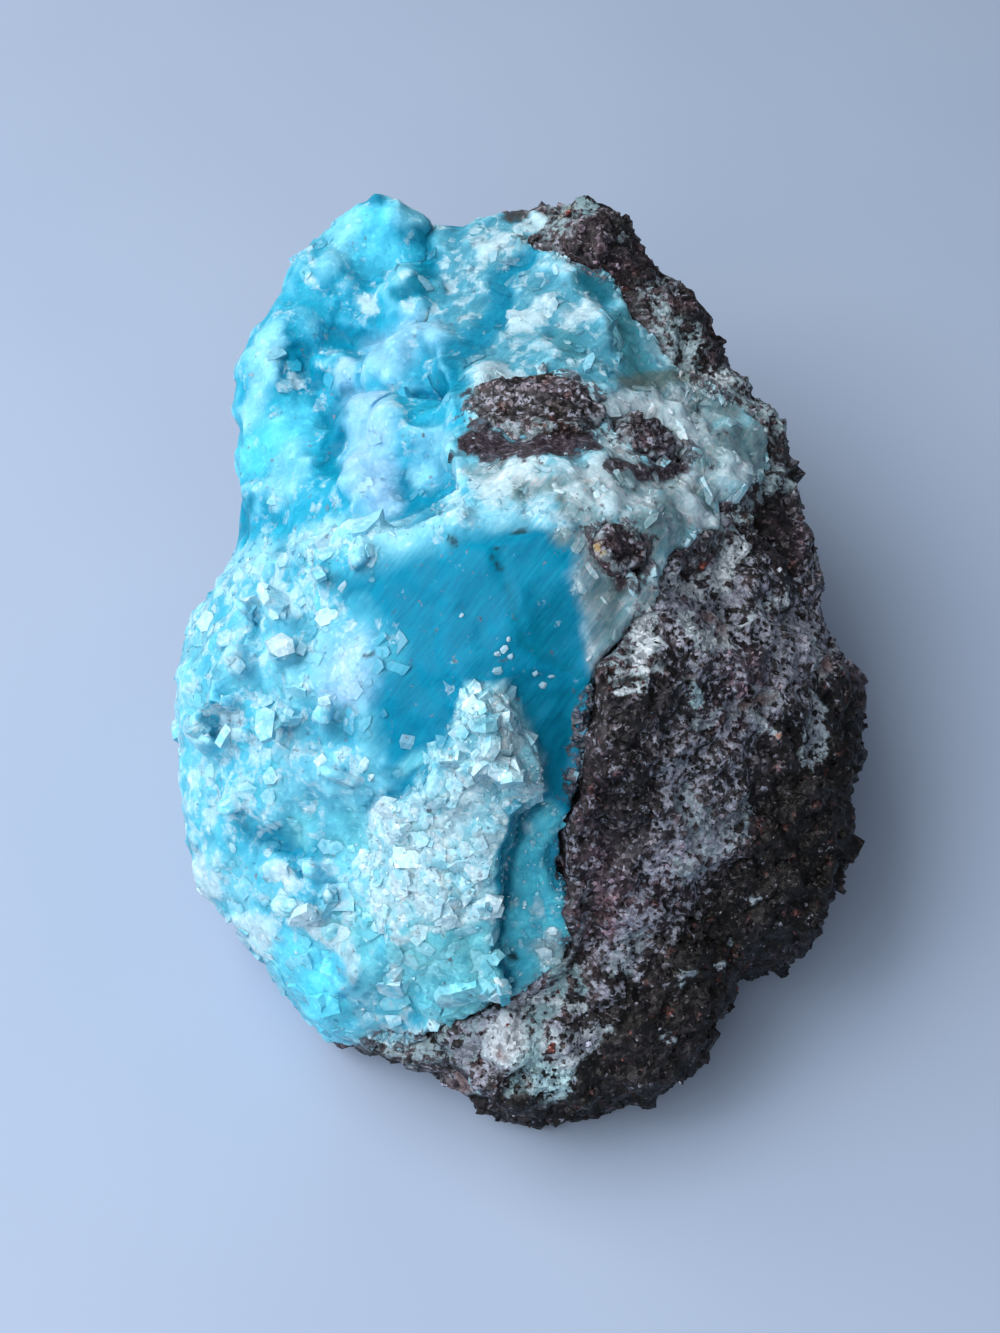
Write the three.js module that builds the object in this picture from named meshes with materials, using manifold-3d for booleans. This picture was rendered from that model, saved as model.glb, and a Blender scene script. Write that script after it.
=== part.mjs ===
// Hemimorphite specimen: a blue crystal crust on dark iron-oxide rock, standing on its broken base.
// Millimetres, +Z up, origin under the middle of the stone. The display face is laid out in its own frame,
// with u to the right, v up the face and w out of it, and is then leaned back as the stone stands.
import * as THREE from "three";
import { mergeVertices } from "three/addons/utils/BufferGeometryUtils.js";
import Module from "manifold-3d";

const wasm = await Module();
wasm.setup();

// Driving dimensions
const FACE_LEAN = THREE.MathUtils.degToRad(35); // the display face, from lying flat
const FACE_HEIGHT = 24; // the middle of the face above the ground
const CONTACT_GAP = 0.35; // clearance between the crust and the rock that it grew on
const STONE_DETAIL = 11; // subdivisions of the whole stone
const KNOB_DETAIL = 2;
const FRAGMENT_DETAIL = 1;
const WELD = 1e-4; // vertices closer than this are one

// The stone's rim, seen square to the face, anticlockwise from the right end of the round shoulder
const RIM = [
  [-10, 40.5], [-16.5, 40], [-20, 35.8], [-25, 27], [-24.8, 19.8], [-25.3, 10.1], [-28.2, 3.6], [-29.2, -3.1],
  [-28.2, -11.3], [-28, -17], [-23.2, -23.2], [-18.8, -29], [-12.5, -32.8], [-6, -34.8], [-3, -37.6],
  [4.8, -39], [14.1, -37.5], [19.4, -32], [22.2, -26.6], [26.8, -24.6], [31.3, -18.9], [33.9, -11.3],
  [33.2, -1.3], [30, 5.1], [27.6, 15], [27.2, 22.5], [21.2, 29.2], [18.2, 36], [14.5, 38], [11.8, 43],
  [7.7, 46], [4.4, 44.5], [0, 44.5], [-5.9, 42.5],
];
const RIM_SAMPLES = 360;
const RIM_W = -4.75; // the rim's place along w at the middle of the face
const RIM_W_PER_V = -0.265; // the rim falls back towards the top of the face

// Relief of the face: its rise above the rim, with soft mounds and hollows
const BODY_RISE = 11.5;
const RISE_FULLNESS = 0.72; // under 1, the face swells quickly inside the rim
const MOUNDS = [
  { at: [2, 8], reach: [18, 14], rise: 18 }, // crest of the stone
  { at: [-6, -14], reach: [15, 10], rise: 5 }, // belly of the front lobe
  { at: [25, 18], reach: [7, 9], rise: -6 }, // slope below the right shoulder
  { at: [16, 33], reach: [5, 5], rise: -3 }, // saddle between the dark shoulder knobs
  { at: [-5.5, 39], reach: [1.8, 8], rise: -5 }, // notch beside the round knob
  { at: [0, 33], reach: [3, 5], rise: -4 }, // blue groove in the top end
  { at: [0, 0], reach: [7, 7], rise: -2 }, // deep blue hollow
  { at: [-15, -14.5], reach: [6, 2.2], rise: -4 }, // blue cleft in the front lobe
  { at: [25, -27], reach: [3, 3], rise: -4 }, // notch low on the right
  { at: [15, -12], reach: [9, 4], rise: 1.5 }, // shoulder across the rock
];

// Ledges of the face with steep sides: an outline, and how far the face steps up or down inside it
const LEDGES = [
  {
    outline: [
      [-60, 7.5], [-25, 8.6], [-21, 10.4], [-17, 10.4], [-13, 12], [-9, 12], [-5, 13.6], [-3, 14.2],
      [-5, 19], [-4.8, 25], [-6.4, 29], [-6, 34], [-7, 40], [-7, 60], [-60, 60],
    ],
    step: -10,
  }, // back shelf, dropped behind the front lobe
  {
    outline: [
      [-1.6, -1.9], [0.6, -3.2], [2.5, -6], [3.7, -10.2], [1.6, -12], [0.4, -15], [0.2, -18.5], [-0.2, -21.7],
      [0.4, -27.4], [-4.9, -28.3], [-9, -24.2], [-10.7, -17.6], [-9.9, -12.2], [-6.6, -10.2], [-4.1, -4.4],
    ],
    step: 4,
  }, // pale crystal plate
  { outline: [[8.6, 1], [12.6, 1.4], [13, -3], [12.4, -9], [8, -9.4]], step: 1.6 }, // slab of rock by the blue
  { outline: [[17, -17], [24, -15], [25, -20], [20, -25], [15.5, -22]], step: -1.8 }, // pit low in the rock
  { outline: [[19, 5], [25, 3], [27, -3], [22, -5], [18, 0]], step: 1.4 }, // slab of rock on the right
];
const LEDGE_LAP = 1.03; // how much further out the rim of a ledge's own surface lies, or further in

// Line of contact between crust and rock, down the face from the top, with how fast it dips to the left below
const CONTACT = [
  { at: [6.2, 46.5], dip: 1 }, { at: [5.5, 43.4], dip: 1 }, { at: [6.9, 39.6], dip: 1 },
  { at: [10.5, 37.5], dip: 1 }, { at: [13.4, 35.1], dip: 1.1 }, { at: [16, 32], dip: 1.2 },
  { at: [18.2, 29.6], dip: 1.3 }, { at: [18.6, 27], dip: 1.4 }, { at: [22.9, 25.6], dip: 1.5 },
  { at: [27, 22], dip: 1.5 }, { at: [27.4, 18], dip: 1.5 }, { at: [23.3, 16], dip: 1.4 },
  { at: [21.2, 13.2], dip: 1.2 }, { at: [17.7, 10.6], dip: 1 }, { at: [13.8, 6.6], dip: 0.8 },
  { at: [11.4, 3.6], dip: 0.6 }, { at: [9.4, -0.1], dip: 0.4 }, { at: [8.2, -4], dip: 0.3 },
  { at: [7.4, -8.5], dip: 0.3 }, { at: [5.6, -14], dip: 0.3 }, { at: [6.6, -18.2], dip: 0.3 },
  { at: [7.2, -22], dip: 0.3 }, { at: [6, -25.5], dip: 0.4 }, { at: [1.7, -28.8], dip: 0.5 },
  { at: [-2.2, -30.8], dip: 0.6 }, { at: [-5.3, -32.6], dip: 0.7 }, { at: [-11.3, -34], dip: 0.8 },
];
const CONTACT_CURL = 0.011; // the contact curls further under the crust with the square of its depth
const CONTACT_LEVELS = [45, 18, 8, -2, -12, -24, -60];
const OUTSIDE = 70; // clear of the stone on every side

// The stone's foot: where the sides draw in to, before the base is broken off flat at the ground
const FOOT = new THREE.Vector3(1.5, 3, -7);
const FOOT_FULLNESS = 0.85;
const HEART = new THREE.Vector3(FOOT.x, FOOT.y, FACE_HEIGHT);

// Broken faces on the sides of the stone: the way each looks, and its distance from the heart of the stone
const BREAKS = [
  { facing: [0.9, -0.1, -0.4], distance: 31.5 },
  { facing: [0.5, -0.75, -0.45], distance: 41 },
  { facing: [0.2, 0.9, -0.35], distance: 37.5 },
  { facing: [0.75, 0.6, -0.3], distance: 30 },
  { facing: [-0.15, -0.85, -0.5], distance: 42.5 },
];

// Surface roughness of the two materials: height of the lumps, and their size
const ROCK_LUMPS = [{ height: 1.3, size: 9 }, { height: 0.8, size: 4.5 }];
const CRUST_LUMPS = [{ height: 0.9, size: 7 }];
const KNOB_LUMPS = [{ height: 0.6, size: 3 }];
const FRAGMENT_LUMPS = [{ height: 0.9, size: 3.2 }, { height: 0.5, size: 1.7 }];

// Round knobs: place on the face, radius, and depth of the centre below the face as a share of the radius
const KNOB_SINK = 0.5;
const CRUST_KNOBS = [
  { at: [-11.6, 41], radius: 5.1, sink: 0.05 }, { at: [-16.2, 36.6], radius: 4.8, sink: 0.3 },
  { at: [-13, 33], radius: 3.6 }, { at: [-20.4, 31.4], radius: 4.8, sink: 0.3 },
  { at: [-22, 26.9], radius: 4.4, sink: 0.3 }, { at: [-21.8, 21.7], radius: 4.6 }, { at: [-22, 16], radius: 4 },
  { at: [-17.6, 17.8], radius: 3.8 }, { at: [-15.3, 27.9], radius: 4 },
  { at: [-12.2, 21.7], radius: 4.6 }, { at: [-12.9, 16.2], radius: 4 },
  { at: [-8.4, 34], radius: 5.2, sink: 0 }, { at: [-8.2, 27], radius: 4.8, sink: 0.1 },
  { at: [-7, 20.4], radius: 4.6, sink: 0.1 },
];
const ROCK_KNOBS = [
  { at: [9.4, 40.6], radius: 4.8 }, { at: [13, 38.2], radius: 3.4 }, { at: [17, 33.6], radius: 3.4 },
  { at: [19, 29.8], radius: 3 },
];

// Blades of the crystal druse, grown in patches of the crust: how many, and how long the blades are
const BLADE_SEED = 11;
const BLADE_SIDES = 6;
const BLADE_TAPER = 0.66;
const BLADE_WIDTH = [0.3, 0.48]; // half width, for a length of one
const BLADE_THICKNESS = [0.14, 0.24];
const BLADE_LEAN = 1.3; // how far a blade leans away from the way the surface looks
const BLADE_BURIED = 0.4; // the share of a blade that is under the surface
const DRUSE = [
  {
    outline: [
      [-24, 4], [-19, 7.4], [-10.2, 9], [-9.3, 2.2], [-9.7, -6.2], [-14.4, -11.3], [-24, -12], [-25, -4.5],
    ],
    count: 16,
    length: [3, 5.4],
  }, // left side of the front lobe
  { outline: [[-23.5, -15], [-14.4, -17], [-11, -25], [-14, -27.5], [-19, -22.5]], count: 6, length: [3, 4.6] },
  { outline: [[-2, -2.6], [2, -6], [3, -9.6], [-1, -8], [-6, -9.6], [-4, -4.8]], count: 7, length: [3, 4.6] },
  { outline: [[-20, 8.6], [-9, 10.6], [-2, 12.6], [-2, 11], [-9, 9], [-20, 7]], count: 6, length: [3, 4.4] },
];

// Bits of the rock caught in the crust: place on the face, half sizes along u, v and w
const FRAGMENTS = [
  { name: "rock_fragment_left", at: [2.6, 23.2], half: [6.2, 4.4, 2.8], spin: 0.1 },
  { name: "rock_fragment_right", at: [13.6, 20], half: [4.3, 2.8, 2.6], spin: 0.3 },
  { name: "rock_fragment_low", at: [10.3, 9.6], half: [2.5, 2.2, 2.2], spin: -0.2 },
];
const FRAGMENT_SINK = 0.45;

const NORMAL_REACH = 0.8; // how far to each side the slope of the face is measured

const STAND = new THREE.Matrix4()
  .makeTranslation(0, 0, FACE_HEIGHT)
  .multiply(new THREE.Matrix4().makeRotationX(FACE_LEAN));

// Repeatable value between -1 and 1 at a point of the lattice
function latticeValue(x, y, z) {
  const wave = Math.sin(x * 127.1 + y * 311.7 + z * 74.7) * 43758.5453;
  return (wave - Math.floor(wave)) * 2 - 1;
}

// Smooth roughness between -1 and 1, with lumps of about the given size
function roughness(point, size) {
  const place = [point.x / size, point.y / size, point.z / size];
  const cell = place.map(Math.floor);
  const ease = place.map((x, i) => THREE.MathUtils.smoothstep(x - cell[i], 0, 1));
  const corner = (dx, dy, dz) => latticeValue(cell[0] + dx, cell[1] + dy, cell[2] + dz);
  const alongX = (dy, dz) => THREE.MathUtils.lerp(corner(0, dy, dz), corner(1, dy, dz), ease[0]);
  const alongY = (dz) => THREE.MathUtils.lerp(alongX(0, dz), alongX(1, dz), ease[1]);
  return THREE.MathUtils.lerp(alongY(0), alongY(1), ease[2]);
}

function lumps(point, layers) {
  return layers.reduce((sum, { height, size }) => sum + height * roughness(point, size), 0);
}

// Random numbers from 0 to 1 that are the same on every run
function seededRandom(seed) {
  let state = seed;
  return () => {
    state = (state * 1664525 + 1013904223) % 4294967296;
    return state / 4294967296;
  };
}

function isInside(outline, u, v) {
  let inside = false;
  outline.forEach(([u0, v0], i) => {
    const [u1, v1] = outline[(i + 1) % outline.length];
    if (v0 > v !== v1 > v && u < u0 + ((v - v0) / (v1 - v0)) * (u1 - u0)) inside = !inside;
  });
  return inside;
}

const rimCurve = new THREE.CatmullRomCurve3(RIM.map(([u, v]) => new THREE.Vector3(u, v, 0)), true, "centripetal");
const rimPoints = rimCurve.getPoints(RIM_SAMPLES);

// The point of the rim in a direction from the middle of the face
function rimAt(angle) {
  const du = Math.cos(angle);
  const dv = Math.sin(angle);
  let reach = 0;
  for (let i = 0; i < RIM_SAMPLES; i++) {
    const a = rimPoints[i];
    const b = rimPoints[i + 1];
    const sideA = du * a.y - dv * a.x;
    const sideB = du * b.y - dv * b.x;
    if (sideA > 0 === sideB > 0) continue;
    const share = sideA / (sideA - sideB);
    reach = Math.max(reach, du * (a.x + share * (b.x - a.x)) + dv * (a.y + share * (b.y - a.y)));
  }
  return new THREE.Vector2(du * reach, dv * reach);
}

// Height of the soft face above the plane of its rim, away from the rim itself
function relief(u, v) {
  return MOUNDS.reduce((sum, { at, reach, rise }) => {
    const away = ((u - at[0]) / reach[0]) ** 2 + ((v - at[1]) / reach[1]) ** 2;
    return sum + rise * Math.exp(-away / 2);
  }, BODY_RISE);
}

function ledgeStep(u, v) {
  return LEDGES.reduce((sum, { outline, step }) => sum + (isInside(outline, u, v) ? step : 0), 0);
}

function rimW(v) {
  return RIM_W + RIM_W_PER_V * v;
}

// Point of the face in the face's frame, over u and v
function facePoint(u, v) {
  const inward = Math.min(1, Math.hypot(u, v) / rimAt(Math.atan2(v, u)).length());
  const swell = Math.sqrt(1 - inward ** 2) ** RISE_FULLNESS;
  return new THREE.Vector3(u, v, rimW(v) + swell * (relief(u, v) + ledgeStep(u, v)));
}

// The way the face looks at a place, out of the stone
function faceNormal(u, v) {
  const right = facePoint(u + NORMAL_REACH, v).sub(facePoint(u - NORMAL_REACH, v));
  const up = facePoint(u, v + NORMAL_REACH).sub(facePoint(u, v - NORMAL_REACH));
  return right.cross(up).normalize();
}

const contactHeights = CONTACT.map(({ at }) => facePoint(...at).z);

// Where the contact lies along u, at a row of its points and a depth
function contactU(row, w) {
  const { at, dip } = CONTACT[row];
  const depth = Math.max(0, contactHeights[row] - w);
  return at[0] - dip * depth - CONTACT_CURL * depth ** 2;
}

// How far a point of the stone is on the rock's side of the contact, along u
function rockSide(point) {
  const v = THREE.MathUtils.clamp(point.y, CONTACT.at(-1).at[1], CONTACT[0].at[1]);
  const row = Math.max(1, CONTACT.findIndex(({ at }) => at[1] <= v));
  const [high, low] = [CONTACT[row - 1].at[1], CONTACT[row].at[1]];
  const share = (high - v) / (high - low);
  return point.x - THREE.MathUtils.lerp(contactU(row - 1, point.z), contactU(row, point.z), share);
}

function solidOf(geometry) {
  const bare = geometry.clone();
  bare.deleteAttribute("normal");
  bare.deleteAttribute("uv");
  const merged = mergeVertices(bare, WELD);
  return new wasm.Manifold(
    new wasm.Mesh({
      numProp: 3,
      vertProperties: new Float32Array(merged.attributes.position.array),
      triVerts: new Uint32Array(merged.index.array),
    }),
  );
}

// Every vertex of a geometry moved by a function of its place
function warped(geometry, move) {
  const position = geometry.attributes.position;
  const point = new THREE.Vector3();
  for (let i = 0; i < position.count; i++) {
    const moved = move(point.fromBufferAttribute(position, i));
    position.setXYZ(i, moved.x, moved.y, moved.z);
  }
  return geometry;
}

function largestBody(solid) {
  return solid.decompose().reduce((best, body) => (body.volume() > best.volume() ? body : best));
}

// The bare stone: a sphere drawn out to the face above the rim, and in to the foot below it
function bareStone(step = 0, lap = 1) {
  const faceFromStand = STAND.clone().invert();
  const move = (direction) => {
    const rim = rimAt(Math.atan2(direction.y, direction.x)).multiplyScalar(lap);
    const inward = Math.hypot(direction.x, direction.y);
    const point = new THREE.Vector3();
    if (direction.z >= 0) {
      const [u, v] = [rim.x * inward, rim.y * inward];
      point.set(u, v, rimW(v) + direction.z ** RISE_FULLNESS * (relief(u, v) + step)).applyMatrix4(STAND);
    } else {
      point.set(rim.x, rim.y, rimW(rim.y)).applyMatrix4(STAND);
      const down = (-direction.z) ** FOOT_FULLNESS;
      point.set(
        THREE.MathUtils.lerp(FOOT.x, point.x, inward),
        THREE.MathUtils.lerp(FOOT.y, point.y, inward),
        THREE.MathUtils.lerp(point.z, FOOT.z * lap, down));
    }
    const side = rockSide(point.clone().applyMatrix4(faceFromStand));
    const outward = point.clone().sub(HEART).normalize();
    return point.addScaledVector(outward, lumps(point, side > 0 ? ROCK_LUMPS : CRUST_LUMPS));
  };
  return solidOf(warped(new THREE.IcosahedronGeometry(1, STONE_DETAIL), move));
}

// A straight-sided block over an outline of the face, right through the stone
function ledgeBlock(outline) {
  const shape = new THREE.Shape(outline.map(([u, v]) => new THREE.Vector2(u, v)));
  const block = new THREE.ExtrudeGeometry(shape, { depth: 2 * OUTSIDE, bevelEnabled: false });
  return solidOf(block.translate(0, 0, -OUTSIDE).applyMatrix4(STAND));
}

// A ledge cut down into the stone, or raised on it
function withLedge(stone, { outline, step }) {
  const block = ledgeBlock(outline);
  if (step < 0) return stone.subtract(block.subtract(bareStone(step, LEDGE_LAP)));
  return stone.add(block.intersect(bareStone(step, 1 / LEDGE_LAP)));
}

// A block that takes off all that lies beyond a broken face
function breakBlock({ facing, distance }) {
  const outward = new THREE.Vector3(...facing).normalize();
  const turn = new THREE.Quaternion().setFromUnitVectors(new THREE.Vector3(0, 0, 1), outward);
  const centre = HEART.clone().addScaledVector(outward, distance + OUTSIDE);
  const block = new THREE.BoxGeometry(2 * OUTSIDE, 2 * OUTSIDE, 2 * OUTSIDE).applyQuaternion(turn);
  return solidOf(block.translate(centre.x, centre.y, centre.z));
}

function knobSolid({ at, radius, sink = KNOB_SINK }) {
  const centre = facePoint(...at).addScaledVector(faceNormal(...at), -sink * radius);
  const knob = warped(new THREE.IcosahedronGeometry(radius, KNOB_DETAIL), (point) => {
    const outward = point.clone().normalize();
    return point.clone().addScaledVector(outward, lumps(point.clone().add(centre), KNOB_LUMPS));
  });
  return solidOf(knob.translate(centre.x, centre.y, centre.z).applyMatrix4(STAND));
}

// The whole stone, crust and rock in one, with its ledges, broken faces and flat base
function stoneSolid() {
  const ground = new THREE.BoxGeometry(2 * OUTSIDE, 2 * OUTSIDE, OUTSIDE).translate(0, 0, -OUTSIDE / 2);
  const ledged = LEDGES.reduce(withLedge, bareStone());
  const knobbed = ROCK_KNOBS.reduce((sum, knob) => sum.add(knobSolid(knob)), ledged);
  const broken = BREAKS.reduce((sum, face) => sum.subtract(breakBlock(face)), knobbed);
  return broken.subtract(solidOf(ground));
}

// A block whose left side is the contact, moved out by a gap, and whose other sides are clear of the stone
function rockSideBlock(gap) {
  const rows = CONTACT.length + 1;
  const levels = CONTACT_LEVELS.length - 1;
  const block = warped(new THREE.BoxGeometry(2, rows, levels, 1, rows, levels), (point) => {
    const step = Math.round(rows / 2 - point.y);
    const row = THREE.MathUtils.clamp(step - 1, 0, CONTACT.length - 1);
    const w = CONTACT_LEVELS[Math.round(levels / 2 - point.z)];
    const v = step === 0 ? OUTSIDE : step === rows ? -OUTSIDE : CONTACT[row].at[1];
    const slant = Math.hypot(1, CONTACT[row].dip);
    const u = point.x > 0 ? OUTSIDE : contactU(row, w) - gap * slant;
    return new THREE.Vector3(u, v, w);
  });
  return solidOf(block.applyMatrix4(STAND));
}

// A tapered six-sided blade with its root below the surface
function bladeSolid(at, length, random) {
  const width = length * THREE.MathUtils.lerp(...BLADE_WIDTH, random());
  const thickness = length * THREE.MathUtils.lerp(...BLADE_THICKNESS, random());
  const blade = new THREE.CylinderGeometry(BLADE_TAPER, 1, length, BLADE_SIDES)
    .scale(width, 1, thickness)
    .translate(0, length * (0.5 - BLADE_BURIED), 0)
    .rotateY(random() * Math.PI);
  const lean = new THREE.Vector3(random() - 0.5, random() - 0.5, random() - 0.5).multiplyScalar(BLADE_LEAN);
  const growth = faceNormal(...at).add(lean).normalize();
  blade.applyQuaternion(new THREE.Quaternion().setFromUnitVectors(new THREE.Vector3(0, 1, 0), growth));
  const root = facePoint(...at);
  return solidOf(blade.translate(root.x, root.y, root.z).applyMatrix4(STAND));
}

// Blades strewn over a patch of the crust
function druseSolids({ outline, count, length }, random) {
  const { min, max } = new THREE.Box2().setFromPoints(outline.map(([u, v]) => new THREE.Vector2(u, v)));
  const blades = [];
  while (blades.length < count) {
    const at = [THREE.MathUtils.lerp(min.x, max.x, random()), THREE.MathUtils.lerp(min.y, max.y, random())];
    if (!isInside(outline, ...at)) continue;
    blades.push(bladeSolid(at, THREE.MathUtils.lerp(...length, random()), random));
  }
  return blades;
}

// A lump of rock set into the face, larger by a gap where it cuts its own pocket
function fragmentSolid({ at, half, spin }, gap) {
  const place = new THREE.Vector3(...at, 0);
  const lump = warped(new THREE.IcosahedronGeometry(1, FRAGMENT_DETAIL), (direction) => {
    const point = direction.clone().multiply(new THREE.Vector3(...half));
    const outward = point.clone().normalize();
    return point.addScaledVector(outward, gap + lumps(point.clone().add(place), FRAGMENT_LUMPS));
  });
  const outward = faceNormal(...at);
  const facing = new THREE.Quaternion().setFromUnitVectors(new THREE.Vector3(0, 0, 1), outward);
  const centre = facePoint(...at).addScaledVector(outward, -FRAGMENT_SINK * half[2]);
  lump.rotateZ(spin).applyQuaternion(facing).translate(centre.x, centre.y, centre.z);
  return solidOf(lump.applyMatrix4(STAND));
}

function meshOf(name, solid, material) {
  const { numProp, numVert, vertProperties, triVerts } = solid.getMesh();
  const position = new Float32Array(numVert * 3);
  for (let i = 0; i < numVert; i++) {
    position.set(vertProperties.subarray(i * numProp, i * numProp + 3), i * 3);
  }
  const geometry = new THREE.BufferGeometry()
    .setAttribute("position", new THREE.BufferAttribute(position, 3))
    .setIndex(new THREE.BufferAttribute(triVerts, 1));
  geometry.computeVertexNormals();
  const mesh = new THREE.Mesh(geometry, material);
  mesh.name = name;
  return mesh;
}

const rockMaterial = new THREE.MeshStandardMaterial({ color: 0x46414a, roughness: 0.8, metalness: 0 });
const crustMaterial = new THREE.MeshStandardMaterial({ color: 0x58bfdc, roughness: 0.3, metalness: 0 });

const random = seededRandom(BLADE_SEED);
const stone = stoneSolid();
const rock = largestBody(stone.intersect(rockSideBlock(0)));

const growths = [...CRUST_KNOBS.map(knobSolid), ...DRUSE.flatMap((patch) => druseSolids(patch, random))];
const grown = growths.reduce((sum, growth) => sum.add(growth), stone).subtract(rockSideBlock(CONTACT_GAP));
const crust = FRAGMENTS.reduce((sum, bit) => sum.subtract(fragmentSolid(bit, CONTACT_GAP)), grown);

const specimen = new THREE.Group();
specimen.add(meshOf("matrix_rock", rock, rockMaterial));
specimen.add(meshOf("hemimorphite_crust", largestBody(crust), crustMaterial));
for (const bit of FRAGMENTS) specimen.add(meshOf(bit.name, fragmentSolid(bit, 0), rockMaterial));

const box = new THREE.Box3().setFromObject(specimen);
specimen.position.set(-(box.min.x + box.max.x) / 2, -(box.min.y + box.max.y) / 2, 0);

export default specimen;
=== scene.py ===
import itertools
import math

import bpy
import numpy as np
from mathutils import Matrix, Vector
from mathutils.bvhtree import BVHTree


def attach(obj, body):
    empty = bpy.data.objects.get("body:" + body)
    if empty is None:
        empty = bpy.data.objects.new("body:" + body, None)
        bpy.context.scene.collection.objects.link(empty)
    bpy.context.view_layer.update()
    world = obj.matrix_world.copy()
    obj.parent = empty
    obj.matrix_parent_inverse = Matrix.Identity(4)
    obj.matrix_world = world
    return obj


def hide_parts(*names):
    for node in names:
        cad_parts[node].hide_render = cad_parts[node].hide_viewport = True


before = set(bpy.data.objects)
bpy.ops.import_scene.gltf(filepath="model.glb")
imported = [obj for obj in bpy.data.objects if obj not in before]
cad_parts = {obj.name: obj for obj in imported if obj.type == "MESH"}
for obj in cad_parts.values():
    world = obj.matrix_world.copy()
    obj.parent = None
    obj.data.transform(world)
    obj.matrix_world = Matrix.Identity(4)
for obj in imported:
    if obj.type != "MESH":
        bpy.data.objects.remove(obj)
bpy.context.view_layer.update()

# Looks of the hemimorphite specimen: fine meshes grown from the solids, small crystals, and painted zones.
# Lengths are millimetres until they reach Blender. Places on the stone are pixels of the 1000 x 1333 photo,
# which the camera below projects on the stone.
MM = 0.001
FACE_LEAN = math.radians(35)  # the camera looks square on the display face, which leans back
FACE_CENTRE = np.array([-1.783, -5.415, 24.0])
EYE_DISTANCE = 190.0
PHOTO_SIZE = np.array([1000.0, 1333.0])
FOCAL_PIXELS = 2090.0
SENSOR = 36.0

CRUST_VOXEL = 0.41
ROCK_VOXEL = 0.46
FRAGMENT_VOXEL = 0.3
WALL_NEAR = 0.5  # how close to each other crust and rock grow ragged walls
WALL_REACH = 1.4
MARK_RELIEF = 0.03  # height of a mark for each pixel of its half width
BLOCK_SIZE = 2.3  # sizes of the crystals in the crust's material
CHIP_SIZE = 0.95
SUGAR_SIZE = 0.36
GRAIN_SIZE = 0.34  # and of the grains in the rock's
SCATTER_DEPTH = 1.4


def srgb(red, green, blue):
    """Linear colour from 0 to 255 screen values."""
    screen = np.array([red, green, blue]) / 255
    return np.where(screen <= 0.04045, screen / 12.92, ((screen + 0.055) / 1.055) ** 2.4)


# Colours of the crust
PALE_BLUE = srgb(105, 187, 212)
MID_BLUE = srgb(64, 172, 202)
SHELF_BLUE = srgb(34, 160, 194)
BRIGHT_CYAN = srgb(96, 212, 240)
DEEP_BLUE = srgb(0, 126, 160)
# Painted shade: the colour of the knob's shaded side, the fold and darker face of the pool, and the plate's
# cliff
PAINTED_SHADE_BLUE = srgb(0, 118, 148)
PROUD_BLUE = srgb(150, 215, 236)
LAVENDER = srgb(146, 194, 224)
TOP_PALE = srgb(80, 152, 176)
TEAL = srgb(60, 128, 142)
DARK_TEAL = srgb(8, 100, 120)
CREST_GREY = srgb(146, 174, 184)
CREST_GREEN = srgb(104, 136, 144)
OLIVE = srgb(82, 98, 96)
RIDGE_WHITE = srgb(140, 204, 226)
PLATE_WHITE = srgb(137, 197, 215)
PLATE_TEAL = srgb(116, 202, 218)
STRIP_TEAL = srgb(80, 188, 212)
ICE_WHITE = srgb(202, 226, 236)
CONTACT_GREY = srgb(132, 152, 160)
BLACK = srgb(24, 32, 36)
BROWN = srgb(58, 42, 36)

# Colours of the rock
ROCK_MID = srgb(64, 62, 66)
ROCK_DARK = srgb(15, 13, 14)
ROCK_PURPLE = srgb(68, 58, 66)
ROCK_BROWN = srgb(66, 48, 44)
RUST = srgb(104, 58, 52)
VEIN_WHITE = srgb(186, 196, 204)
VEIN_CYAN = srgb(176, 212, 220)
VEIN_GREY = srgb(128, 132, 146)
OCHRE = srgb(150, 118, 50)
ORANGE = srgb(190, 110, 70)

# Zones of the crust, as outlines in the photo
SHELF = [
    (150, 120), (436, 150), (436, 260), (446, 330), (466, 400), (462, 480), (440, 504), (380, 522),
    (300, 542), (232, 559), (150, 575),
]
TOP_END = [
    (436, 150), (560, 190), (640, 290), (705, 372), (690, 400), (600, 392), (470, 398), (446, 330),
    (436, 260),
]
CREST = [
    (462, 470), (500, 462), (600, 465), (600, 398), (700, 380), (790, 430), (795, 485), (745, 525),
    (690, 565), (645, 625), (608, 665), (592, 620), (568, 545), (500, 506),
]
POOL = [
    (356, 584), (400, 566), (465, 548), (520, 526), (560, 530), (574, 590), (592, 650), (598, 705),
    (588, 770), (582, 830), (560, 815), (548, 770), (534, 738), (490, 694), (455, 718), (437, 770),
    (412, 790), (389, 728), (386, 690), (416, 655), (403, 630),
]
PLATE = [
    (474, 680), (505, 678), (532, 736), (549, 790), (522, 814), (500, 850), (496, 895), (499, 925),
    (480, 912), (462, 926), (430, 924), (398, 936), (376, 900), (360, 862), (376, 808), (416, 786),
    (450, 718),
]
PLATE_FOOT = [
    (400, 840), (496, 850), (499, 925), (495, 955), (506, 1000), (440, 1006), (384, 990), (330, 930),
]
STRIP = [
    (523, 816), (552, 800), (574, 830), (584, 900), (578, 940), (545, 1000), (509, 1003), (497, 955),
    (501, 925), (498, 895), (502, 850),
]

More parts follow.
